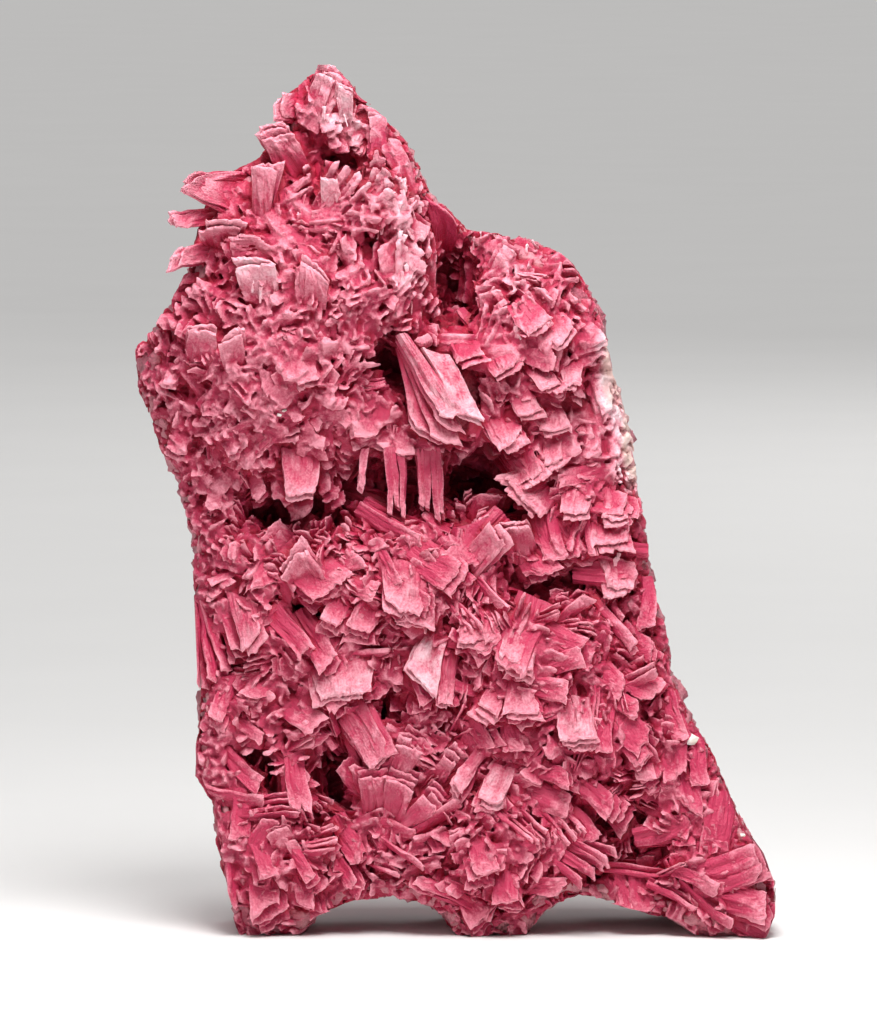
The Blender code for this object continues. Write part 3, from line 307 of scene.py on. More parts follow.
LOWER_BOOKS = [
    # the right flank
    (11.8, 46.0, 3.4, 2.0, -170, 20, 10, 3), (16.2, 44.0, 5.2, 2.6, -5, 14, -30, 3),
    (16.8, 41.6, 3.8, 2.2, -20, 14, 10, 2), (11.6, 40.4, 4.0, 1.0, -97, 14, 40, 1),
    (12.7, 40.4, 4.0, 1.0, -88, 14, 40, 1), (16.8, 36.8, 4.6, 3.8, -4, 12, 0, 4),
    (13.8, 36.6, 3.6, 1.6, -85, 14, -40, 2), (9.8, 40.0, 4.8, 3.4, -70, 14, 0, 2),
    (5.9, 41.4, 3.8, 1.8, 20, 18, 20, 2), (7.4, 37.8, 4.6, 3.6, -60, 20, 0, 3),
    (15.6, 31.0, 6.0, 1.8, -50, 14, 30, 4), (18.4, 32.6, 3.8, 2.0, -100, 14, 10, 2),
    (19.0, 29.2, 4.6, 2.4, -22, 12, 0, 2), (18.4, 26.4, 6.2, 2.8, -30, 12, -20, 2),
    (19.6, 23.8, 5.2, 1.6, 25, 14, 50, 3), (22.0, 21.2, 3.6, 2.2, -75, 12, 0, 3),
    (11.8, 32.2, 4.6, 1.4, 35, 12, 40, 3), (16.4, 39.0, 3.4, 2.0, 170, 16, 10, 2),
    # the centre
    (-9.7, 42.7, 7.2, 1.6, -30, 16, 50, 4), (-6.2, 40.6, 6.2, 2.0, -30, 18, 35, 4),
    (2.3, 38.9, 5.4, 3.2, -130, 18, 0, 3), (2.3, 42.2, 4.2, 2.8, 65, 12, 0, 2),
    (-2.5, 37.7, 6.8, 3.8, -35, 22, 0, 4), (-5.2, 35.2, 6.2, 2.6, -30, 20, 20, 4),
    (-5.7, 33.1, 3.2, 2.4, -62, 34, 0, 3), (-0.2, 32.2, 6.2, 1.1, -52, 14, 62, 5),
    (2.8, 34.6, 5.0, 1.7, -50, 18, 40, 5), (6.5, 29.7, 6.4, 4.2, -112, 22, 0, 3),
    (2.4, 30.6, 4.2, 3.4, -60, 18, 0, 2), (-3.0, 26.5, 5.6, 3.4, -70, 22, -10, 3),
    (-0.8, 25.4, 4.6, 2.0, -85, 16, 0, 3), (0.8, 28.9, 3.2, 2.2, -20, 22, 0, 3),
    (1.0, 25.0, 2.6, 1.6, 170, 16, 20, 3), (3.2, 23.7, 3.6, 2.8, -75, 26, 0, 3),
    (6.3, 23.5, 4.2, 3.6, -65, 20, 0, 3), (1.7, 21.2, 5.2, 2.1, -60, 14, 30, 3),
    (10.4, 27.8, 4.6, 2.4, 15, 16, 0, 2), (9.2, 24.8, 3.8, 3.0, -10, 18, 0, 2),
    (10.8, 30.0, 4.0, 2.6, -30, 16, 0, 3), (12.0, 21.5, 4.8, 3.8, -85, 22, 0, 3),
    (15.0, 20.6, 4.6, 2.2, -88, 16, 0, 2), (17.0, 20.4, 4.6, 3.0, -55, 16, 0, 2),
    (16.2, 23.7, 4.2, 2.6, -30, 18, 0, 2), (15.3, 25.8, 3.2, 2.2, -45, 20, 0, 2),
    (-9.4, 35.0, 3.0, 2.2, -20, 20, 0, 2), (5.2, 20.0, 3.6, 2.8, -70, 20, 0, 3),
    # the left flank
    (-17.5, 39.6, 3.6, 2.8, 130, 18, 0, 2), (-21.6, 38.1, 2.8, 2.2, 150, 20, 0, 2),
    (-19.5, 36.2, 3.4, 3.0, -95, 22, 0, 2), (-19.9, 43.2, 5.0, 1.3, -140, 14, 20, 3),
    (-13.6, 40.6, 3.2, 1.1, -115, 16, 20, 1), (-14.5, 35.9, 5.4, 4.6, -42, 20, -8, 4),
    (-11.0, 37.4, 2.6, 2.0, 20, 20, 0, 2), (-6.9, 37.0, 4.2, 1.5, -65, 16, 30, 3),
    (-24.5, 35.7, 3.6, 1.2, -145, 14, 40, 4), (-21.6, 31.5, 6.2, 3.4, -75, 18, -5, 3),
    (-24.0, 29.2, 6.2, 1.4, -75, 12, -40, 3), (-11.9, 32.5, 3.6, 2.8, -125, 24, 0, 2),
    (-8.9, 32.6, 4.2, 3.6, -118, 16, 0, 2), (-16.7, 29.7, 5.2, 3.0, -55, 20, 15, 5),
    (-13.9, 29.2, 5.0, 2.6, -60, 20, 10, 5), (-19.5, 28.2, 3.6, 1.0, 190, 14, 58, 4),
    (-11.7, 25.7, 3.6, 5.4, -84, 26, 0, 2), (-21.7, 25.4, 4.2, 2.2, 2, 16, 20, 3),
    (-9.6, 28.4, 4.6, 1.6, 8, 16, 50, 3), (-23.6, 23.0, 3.4, 2.0, -110, 14, 10, 2),
    # the lower left
    (-15.5, 21.8, 3.6, 3.0, -32, 24, 0, 2), (-9.0, 20.7, 6.8, 3.2, -65, 18, 8, 3),
    (-11.2, 19.8, 6.2, 1.0, -70, 12, 40, 2), (-16.6, 15.7, 6.6, 2.2, -83, 18, 0, 3),
    (-19.4, 16.6, 3.6, 1.2, -100, 12, 30, 1), (-14.4, 15.6, 4.2, 1.4, -80, 14, 40, 3),
    (-21.2, 16.2, 4.0, 2.4, -45, 18, 0, 3), (-21.6, 13.8, 4.2, 1.8, -10, 16, 30, 3),
    (-18.3, 12.0, 4.8, 1.1, 5, 16, 55, 3), (-19.0, 10.3, 2.8, 2.2, 60, 20, 0, 2),
    (-19.6, 7.4, 3.8, 2.2, -75, 20, 0, 3), (-19.4, 4.4, 3.6, 3.8, -88, 14, 0, 3),
    (-22.2, 5.4, 4.2, 1.6, -88, 10, -30, 2), (-15.7, 7.5, 4.4, 2.0, -60, 20, 10, 2),
    (-14.0, 8.2, 4.2, 0.8, 10, 14, 66, 4), (-11.4, 11.6, 4.8, 2.6, -30, 22, 0, 3),
    (-10.4, 9.2, 3.8, 2.6, -60, 18, 0, 2), (-11.4, 6.4, 3.2, 2.4, -60, 16, 30, 4),
    (-20.8, 20.8, 3.2, 1.8, -30, 18, 10, 3), (-22.6, 10.6, 3.6, 2.0, -95, 12, 0, 2),
    (-15.4, 4.6, 3.2, 2.4, -80, 12, 10, 3),
    # the lower middle
    (-7.2, 14.9, 5.2, 4.6, 108, 20, 0, 3), (-4.8, 18.3, 4.8, 2.4, 20, 20, 0, 2),
    (-1.4, 16.9, 3.8, 2.8, 35, 18, 0, 2), (-4.2, 13.6, 5.2, 1.4, 40, 16, 10, 2),
    (-1.2, 13.2, 5.0, 1.6, 35, 16, 20, 2), (3.7, 15.2, 5.2, 3.0, -115, 22, 0, 3),
    (1.3, 16.3, 5.0, 1.9, -125, 18, 20, 4), (5.8, 13.8, 3.0, 2.8, -95, 18, 0, 2),
    (9.0, 14.2, 4.8, 2.6, -25, 18, 0, 3), (9.2, 16.4, 4.2, 2.0, -25, 18, 0, 3),
    (13.7, 14.8, 5.4, 2.8, -42, 22, 0, 4), (12.0, 10.6, 3.8, 3.4, -50, 20, 0, 3),
    (4.6, 11.6, 8.4, 1.0, -42, 14, 60, 4), (10.2, 7.4, 7.8, 1.3, -40, 14, 45, 4),
    (9.6, 11.0, 5.2, 0.9, -50, 14, 62, 3), (-1.7, 11.6, 5.4, 1.7, 35, 18, 40, 2),
    (2.4, 12.2, 3.4, 1.6, -30, 20, 30, 2), (2.6, 8.4, 4.8, 3.2, -80, 20, 0, 3),
    (4.8, 5.2, 3.8, 3.0, -85, 22, 0, 3), (8.2, 4.9, 4.4, 2.4, -12, 14, 0, 3),
    (-1.4, 4.6, 6.2, 1.7, 155, 14, 30, 4), (-4.8, 7.4, 4.2, 1.0, -35, 14, 60, 4),
    (-7.6, 6.4, 3.8, 1.1, -30, 14, 58, 4), (-6.2, 10.6, 3.8, 1.6, -20, 16, 30, 3),
    (1.2, 2.8, 3.4, 2.4, -60, 14, 0, 3),
    # the toe
    (27.5, 6.5, 5.6, 3.6, 20, 14, 0, 3), (30.0, 6.4, 3.0, 2.6, 10, 10, 0, 2),
    (28.6, 3.0, 4.6, 4.0, -20, 12, 0, 2), (26.1, 10.5, 4.8, 3.4, -100, 14, 0, 2),
    (23.1, 14.4, 3.8, 2.8, -88, 18, 0, 3), (23.9, 16.8, 4.2, 1.8, -88, 14, 0, 3),
    (21.5, 17.2, 3.6, 2.4, -85, 18, 0, 3), (19.0, 17.2, 3.2, 2.2, -70, 22, 0, 3),
    (16.8, 9.2, 5.2, 1.6, 55, 14, 30, 2), (21.3, 10.7, 4.2, 2.4, 15, 10, 0, 2),
    (19.5, 6.8, 2.6, 2.0, 90, 12, 0, 2), (21.8, 7.2, 2.4, 1.6, 80, 12, 0, 2),
    (18.3, 3.8, 3.2, 2.8, -90, 16, 0, 2), (16.6, 4.0, 3.2, 1.6, -80, 14, 0, 2),
    (22.1, 3.4, 4.2, 1.0, -30, 14, 55, 5), (19.3, 5.8, 7.2, 0.9, -8, 12, 64, 3),
    (25.2, 2.6, 5.2, 1.2, -40, 12, 40, 2), (14.1, 8.7, 3.2, 0.9, 0, 14, 60, 4),
    (25.6, 13.6, 3.2, 2.2, -60, 12, 0, 2), (24.6, 5.2, 3.4, 1.8, -25, 14, 20, 3),
]

# The great leaves: the places (across, up, and for some forward) of each one's root left, root
# right, tip right and tip left; how many leaves lie behind each other; how pale it is; and its
# white dust with painted glints
SHARDS = {
    "fan_front": (((-6.2, 60.0, 10.8), (-4.7, 60.2, 10.8), (1.4, 52.2, 13.5),
                   (-1.6, 51.6, 13.5)), 1, 0.55, 0.2),
    "fan_over": (((-3.8, 58.9, 11.2), (-0.6, 58.0, 10.9), (3.1, 51.3, 12.9),
                  (0.3, 52.6, 13.3)), 2, 0.6, 0.35),
    "fan_middle": (((-6.2, 59.4, 10.2), (-3.4, 58.6, 10.2), (1.0, 50.2, 12.4),
                    (-2.0, 51.4, 12.8)), 1, 0.6, 0.1),
    "fan_second": (((-6.0, 59.0, 9.8), (-3.4, 58.5, 9.8), (0.6, 48.8, 11.8),
                    (-2.6, 50.0, 12.2)), 1, 0.9, 0.15),
    "fan_third": (((-6.0, 58.8, 9.2), (-4.2, 58.4, 9.2), (-1.0, 49.4, 11.2),
                   (-4.2, 50.8, 11.6)), 2, 0.6, 0.1),
    "fan_right": (((2.4, 51.7), (6.3, 51.9), (6.5, 50.1), (4.3, 48.7)), 2, 0.6, 0.1),
    "slope_left": (((-1.6, 60.9), (1.2, 61.3), (2.6, 58.4), (-0.1, 57.4)), 2, -0.3, 0.05),
    "slope_right": (((1.6, 60.9), (4.3, 61.0), (6.2, 57.4), (3.4, 56.2)), 2, -0.1, 0.05),
    "slope_upper": (((4.6, 62.9), (7.0, 64.0), (9.4, 62.0), (6.8, 60.2)), 2, 0.3, 0.05),
    "middle_striped": (((5.0, 33.5), (9.2, 32.5), (7.5, 26.5), (4.3, 28.1)), 3, 0.9, 0.15),
    "middle_left": (((0.3, 32.6), (4.7, 33.5), (3.8, 28.9), (0.1, 29.7)), 2, 0.6, 0.1),
    "centre_bright": (((-3.2, 30.6), (-1.0, 29.7), (-2.0, 23.9), (-4.9, 26.9)), 2, 1.1, 0.4),
    "centre_behind": (((-1.8, 29.7), (0.2, 27.9), (-0.4, 23.1), (-1.9, 23.6)), 2, 0.6, 0.1),
    "right_edge": (((14.3, 37.8), (18.0, 38.5), (17.6, 34.9), (15.3, 34.5)), 2, 0.8, 0.2),
    "right_tip": (((9.6, 23.9), (13.3, 23.9), (14.0, 19.9), (10.3, 19.6)), 3, 0.8, 0.2),
    "right_middle": (((4.8, 25.4), (6.7, 25.8), (8.4, 22.2), (4.6, 22.4)), 2, 0.55, 0.1),
    "middle_steps": (((3.3, 25.2), (4.8, 24.7), (4.0, 22.0), (1.8, 23.3)), 3, 0.6, 0.1),
    "low_bright": (((3.5, 17.4), (5.7, 16.7), (4.3, 12.9), (1.9, 14.0)), 3, 0.95, 0.2),
    "low_narrow": (((2.0, 18.9), (2.9, 18.2), (0.5, 14.2), (-0.5, 15.4)), 3, 0.75, 0.1),
    "shell_big": (((-9.3, 11.9), (-7.4, 11.6), (-7.0, 16.0), (-9.8, 15.9)), 3, 0.15, 0.05),
    "shell_wide": (((-7.7, 11.6), (-5.9, 11.0), (-4.4, 14.6), (-7.0, 15.6)), 4, 0.2, 0.05),
    "shell_side": (((-7.3, 10.6), (-5.9, 9.8), (-1.9, 12.4), (-3.4, 14.3)), 4, 0.15, 0.05),
    "shell_upper": (((-8.0, 14.9), (-5.4, 14.6), (-3.4, 18.3), (-5.9, 19.4)), 4, 0.3, 0.1),
    "shell_right": (((-3.7, 15.7), (-1.2, 14.9), (0.0, 17.1), (-1.1, 18.4)), 3, 0.5, 0.1),
    "long_left": (((-11.9, 21.4), (-9.5, 24.4), (-6.8, 18.7), (-8.7, 16.7)), 2, 0.65, 0.1),
    "pale_ledge": (((-14.7, 27.4), (-8.5, 28.3), (-8.6, 24.7), (-13.7, 23.8)), 2, 0.95, 0.2),
    "left_slab": (((-13.9, 32.5), (-12.2, 34.7), (-15.4, 39.2), (-17.6, 35.9)), 2, 0.7, 0.1),
    "left_point": (((-23.2, 34.7), (-20.1, 33.7), (-19.7, 30.7), (-21.4, 28.2)), 2, 0.65, 0.1),
    "centre_stack": (((-7.7, 37.7), (-3.2, 37.2), (-3.7, 32.1), (-6.9, 33.2)), 4, 0.8, 0.1),
    "cave_slab": (((0.5, 38.5), (1.9, 35.9), (4.8, 39.4), (3.3, 41.7)), 2, 0.65, 0.1),
    "cave_right": (((8.8, 37.1), (4.9, 37.5), (4.3, 40.8), (7.1, 40.9)), 2, 0.5, 0.1),
    "cave_lip": (((7.8, 47.2), (9.8, 43.7), (8.4, 41.9), (4.6, 45.9)), 2, 0.6, 0.1),
    "hanging": (((-17.5, 48.9), (-13.7, 48.4), (-14.1, 44.5), (-17.0, 43.9)), 2, 0.7, 0.1),
    "red_face": (((-2.5, 68.9), (-0.2, 68.9), (0.4, 71.4), (-3.2, 74.0)), 1, -1.3, 0.0),
    "knob_face": (((-16.2, 82.2), (-13.8, 80.9), (-12.0, 85.4), (-13.9, 86.4)), 3, 0.7, 0.2),
    "knob_left": (((-15.7, 81.7), (-15.7, 84.5), (-17.3, 84.2), (-17.4, 82.0)), 2, 0.7, 0.1),
    "knob_right": (((-12.0, 81.2), (-10.4, 81.0), (-10.2, 84.0), (-11.7, 84.8)), 2, 0.8, 0.5),
    "pale_post": (((-13.7, 72.2), (-11.7, 72.2), (-11.9, 75.5), (-13.5, 75.6)), 1, 1.0, 0.4),
    "corner_fan": (((-17.2, 75.2), (-14.5, 77.2), (-16.2, 80.3), (-19.5, 79.5)), 3, 0.4, 0.1),
    "corner_wing": (((-22.2, 72.2), (-20.7, 76.7), (-25.2, 76.3), (-27.2, 74.5)), 2, 0.6, 0.1),
    "corner_low": (((-24.4, 69.8), (-24.4, 67.4), (-27.9, 66.6), (-27.0, 68.9)), 2, 0.2, 0.1),
    "corner_bar": (((-24.2, 71.2), (-24.2, 72.9), (-28.3, 72.2), (-28.0, 70.9)), 2, 0.5, 0.1),
    "shoulder_left": (((4.6, 54.4), (7.3, 55.0), (8.6, 52.7), (6.0, 52.0)), 2, 0.5, 0.1),
    "shoulder_low": (((7.3, 52.7), (10.3, 53.7), (11.3, 51.0), (8.6, 50.4)), 2, 0.55, 0.1),
    "shoulder_middle": (((6.6, 57.2), (9.0, 57.6), (10.3, 55.4), (8.4, 54.6)), 2, 0.6, 0.1),
    "shoulder_top": (((7.3, 61.7), (10.3, 62.4), (11.6, 60.9), (10.0, 58.9)), 2, 0.6, 0.1),
    "shoulder_right": (((10.6, 57.9), (12.6, 58.0), (12.3, 55.0), (10.6, 55.3)), 2, 0.8, 0.2),
    "above_cave": (((3.0, 48.6), (7.0, 49.4), (8.3, 46.7), (5.8, 44.9)), 2, 0.65, 0.1),
    "right_upper": (((8.6, 49.7), (10.6, 50.4), (10.6, 47.7), (8.6, 47.0)), 2, 0.5, 0.1),
    "right_shelf": (((10.6, 45.0), (13.3, 45.0), (13.0, 42.4), (10.3, 42.4)), 2, 0.6, 0.1),
    "rim_upper": (((14.3, 44.7), (17.4, 44.3), (17.2, 41.9), (14.6, 41.8)), 2, 0.7, 0.15),
    "rim_middle": (((13.3, 41.7), (17.0, 41.8), (17.2, 39.2), (13.5, 39.2)), 2, 0.45, 0.1),
    "mound_pale": (((-21.0, 64.2), (-17.7, 64.2), (-18.0, 67.0), (-22.0, 67.0)), 2, 0.95, 0.35),
    "mound_middle": (((-15.7, 62.7), (-13.0, 62.7), (-12.7, 65.4), (-15.7, 67.4)), 2, 0.6, 0.1),
    "mound_left": (((-25.2, 68.7), (-21.7, 68.7), (-21.4, 70.7), (-25.7, 70.7)), 2, 0.6, 0.1),
    "mound_tall": (((-20.4, 71.7), (-18.4, 72.0), (-17.7, 76.7), (-20.4, 76.7)), 2, 0.5, 0.1),
    "mound_low": (((-27.0, 57.4), (-24.4, 57.0), (-24.0, 60.4), (-26.7, 60.4)), 2, 0.4, 0.1),
    "mound_slab": (((-23.0, 56.0), (-21.0, 57.4), (-21.4, 60.0), (-23.7, 59.0)), 2, 0.6, 0.1),
}

# Laths that hang over the caves: across at the root, across at the tip, and the tip's height
LATHS = [(-9.0, -9.7, 44.7), (-6.8, -6.7, 42.2), (-6.3, -5.9, 42.8), (-5.5, -5.3, 41.8),
         (-3.9, -3.5, 42.9), (-3.4, -2.9, 42.4), (-2.6, -1.9, 41.5), (-2.1, -1.4, 41.9)]

# White dust with painted glints, cream-coloured crust, and the clearing behind the fan that
# small leaves leave free: (across, up, radius across, radius up, strength)
DUST_AND_GLINT = [
    (-11.8, 82.6, 2.2, 2.2, 0.55), (-10.2, 81.0, 1.8, 1.8, 0.6), (-5.6, 74.0, 2.4, 2.4, 0.5),
    (-4.6, 69.5, 2.2, 2.2, 0.5), (-4.0, 66.0, 2.2, 2.2, 0.4), (-19.6, 65.0, 1.6, 1.6, 0.4),
    (-9.0, 76.0, 1.8, 1.8, 0.4), (6.0, 66.5, 3.0, 3.0, 0.25), (13.4, 52.5, 2.4, 2.4, 0.3),
]
CREAM = [(15.6, 56.6, 1.5, 4.2, 0.8), (17.8, 49.6, 1.6, 5.2, 0.9)]
CLEARINGS = [(-1.6, 54.6, 4.4, 5.2, 1.0)]

# Glints: (across, up). Grains of quartz: (across, up, size), and how they're drawn out
GLINTS = [(-12.5, 82.5), (-11.4, 83.5), (-10.4, 82.1), (-10.2, 84.6), (-7.6, 76.3), (-9.3, 76.3),
          (-6.1, 74.0), (-5.5, 69.8), (-7.2, 70.7), (-4.6, 73.0), (-5.4, 66.4), (-4.2, 63.0),
          (-20.2, 65.4), (-19.5, 64.7), (-13.4, 73.8), (5.8, 54.2), (6.6, 53.2), (5.8, 61.0),
          (1.8, 70.0), (7.2, 69.2), (-21.7, 32.5), (15.8, 37.6), (-3.8, 27.0)]
QUARTZ_GRAINS = [(23.5, 19.6, 1.7), (28.6, 10.1, 0.6), (-17.7, 52.2, 0.7), (-17.2, 52.6, 0.5)]
QUARTZ_STRETCH = (1.25, 0.9, 0.8)


# --- The shape of the front, as arrays -------------------------------------------------------

def rim_distance(angle):
    """Centre to outline along each direction, in mm."""
    cx, cy = OUTLINE_CENTRE
    angle = np.asarray(angle, float)
    dx, dy = np.cos(angle), np.sin(angle)
    best = np.zeros_like(dx)
    for (ax, ay), (bx, by) in zip(OUTLINE, OUTLINE[1:] + OUTLINE[:1]):
        ex, ey = bx - ax, by - ay
        cross = dx * ey - dy * ex
        safe = np.where(np.abs(cross) < 1e-9, 1e-9, cross)
        along = ((ax - cx) * ey - (ay - cy) * ex) / safe
        side = ((ax - cx) * dy - (ay - cy) * dx) / safe
        meets = (along > 0) & (side >= -1e-9) & (side <= 1 + 1e-9) & (np.abs(cross) > 1e-9)
        best = np.where(meets, np.maximum(best, along), best)
    return best


def footward(angle):
    return np.clip((-np.sin(angle) - FOOT_FROM) / FOOT_SPAN, 0.0, 1.0)


def bells(across, up, rows):
    """Sum of the swells or hollows at each place."""
    total = np.zeros_like(across)
    for x, z, rx, rz, height in rows:
        spread = ((across - x) / rx) ** 2 + ((up - z) / rz) ** 2
        total += height * np.exp(-spread ** BELL_POWER)
    return total


def rim_share(across, up):
    """Share of the way from the centre to the outline: over 1 outside it."""
    cx, cy = OUTLINE_CENTRE
    angle = np.arctan2(up - cy, across - cx)
    return np.hypot(across - cx, up - cy) / rim_distance(angle), angle


def front_depth(across, up):
    """Forward depth of the blades' tips at places on the front, in mm."""
    across, up = np.asarray(across, float), np.asarray(up, float)
    share, angle = rim_share(across, up)
    share = np.minimum(share, 1.0)
    fullness = RIM_FULLNESS + (FOOT_FULLNESS - RIM_FULLNESS) * footward(angle)
    inner = (1.0 - share ** DOME_POWER) ** (1.0 / DOME_POWER)
    relief = FRONT_DEPTH + bells(across, up, SWELLS) - bells(across, up, HOLLOWS)
    return relief * (fullness + (1.0 - fullness) * inner)


def to_world(across, up, forward):
    """Places in the sight plane as points in mm, standing on the foot."""
    across, up, forward = (np.asarray(v, float) for v in (across, up, forward))
    height = up + np.maximum(0.0, forward) * TAN_SIGHT - FOOT_CUT
    return np.stack([across + FOOTPRINT_SHIFT[0], FOOTPRINT_SHIFT[1] - forward, height], -1)


def from_world(points):
    """The inverse of to_world."""
    across = points[..., 0] - FOOTPRINT_SHIFT[0]
    forward = FOOTPRINT_SHIFT[1] - points[..., 1]
    up = points[..., 2] + FOOT_CUT - np.maximum(0.0, forward) * TAN_SIGHT
    return across, up, forward


# --- How shut in a place is, for painted shade and painted highlight -------------------------

class Relief:
    """A height field of everything that has grown, to tell open tips from closed crevices, which
    are given painted highlight and painted shade.
    """

    CELL = 0.25
    LOW = (-37.0, -4.0)
    SIZE = (300, 388)
    OUTSIDE = -9.0
    RADII = ((0.45, 1.0), (0.95, 1.0), (1.9, 1.0), (3.4, 0.7), (5.6, 0.5))     # with weights
    CLOSE = 1.0                          # the radii below this tell what stands proud
    WAYS = 8

    def __init__(self):
        xs = self.LOW[0] + self.CELL * np.arange(self.SIZE[0])
        ys = self.LOW[1] + self.CELL * np.arange(self.SIZE[1])
        across, up = np.meshgrid(xs, ys, indexing="ij")
        share, _ = rim_share(across, up)
        self.height = np.where(share < 1.0, front_depth(across, up) - CRUST, self.OUTSIDE)

    def cells(self, across, up):
        i = np.clip(((across - self.LOW[0]) / self.CELL).astype(int), 0, self.SIZE[0] - 1)
        j = np.clip(((up - self.LOW[1]) / self.CELL).astype(int), 0, self.SIZE[1] - 1)
        return i, j

    def raise_to(self, points):
        across, up, forward = from_world(points)
        np.maximum.at(self.height, self.cells(across, up), forward)

    def painted_shading(self, points):
        """Share of the sky hidden from each point, up to 1, for painted shade, and below 0 where it
        stands proud, for painted highlight.
        """
        across, up, forward = from_world(points)
        hidden, level = np.zeros(len(points)), np.zeros(len(points))
        ways = 0.0
        for radius, weight in self.RADII:
            for k in range(self.WAYS):
                angle = 2 * math.pi / self.WAYS * k + radius
                i, j = self.cells(across + radius * math.cos(angle), up + radius * math.sin(angle))
                rise = self.height[i, j] - forward
                if radius < self.CLOSE:
                    level += np.clip(rise, -1.0, 1.0) / (2 * self.WAYS)
                rise = (rise - 0.08) / radius
                hidden += weight * np.clip(rise, 0.0, None) / np.sqrt(1.0 + rise * rise)
                ways += weight
        i, j = self.cells(across, up)
        covered = np.clip((self.height[i, j] - forward - 0.3) / 1.4, 0.0, 1.0)
        proud = np.clip(-level, 0.0, 1.0) * (1.0 - covered)
        # Hidden and covered places get painted shade; proud places, below 0, get painted highlight
        return np.clip(hidden / ways * 1.25 + covered * 0.35, 0.0, 1.0) - 0.5 * proud


# --- Leaves ----------------------------------------------------------------------------------

def unit(v):
    return v / np.linalg.norm(v)


def blade_axes(heading, lean, roll):
    """Unit vectors along a blade, across it and out of its face, from angles in degrees."""
    heading, lean, roll = (math.radians(v) for v in (heading, lean, roll))
    flat = RIGHT * math.cos(heading) + UPWARD * math.sin(heading)
    along = flat * math.cos(lean) + TOWARDS * math.sin(lean)
    face = unit(TOWARDS - along * float(TOWARDS @ along))
    side = np.cross(along, face)
    turned = face * math.cos(roll) + side * math.sin(roll)
    return along, np.cross(along, turned), turned


def turned_about(v, axis, angle):
    """v turned about a unit axis by an angle in radians."""
    return (v * math.cos(angle) + np.cross(axis, v) * math.sin(angle)
            + axis * float(axis @ v) * (1 - math.cos(angle)))


def border(grid):
    """The entries round the edge of a grid, in order."""
    return np.concatenate([grid[0], grid[1:, -1], grid[-1, -2::-1], grid[-2:0:-1, 0]])


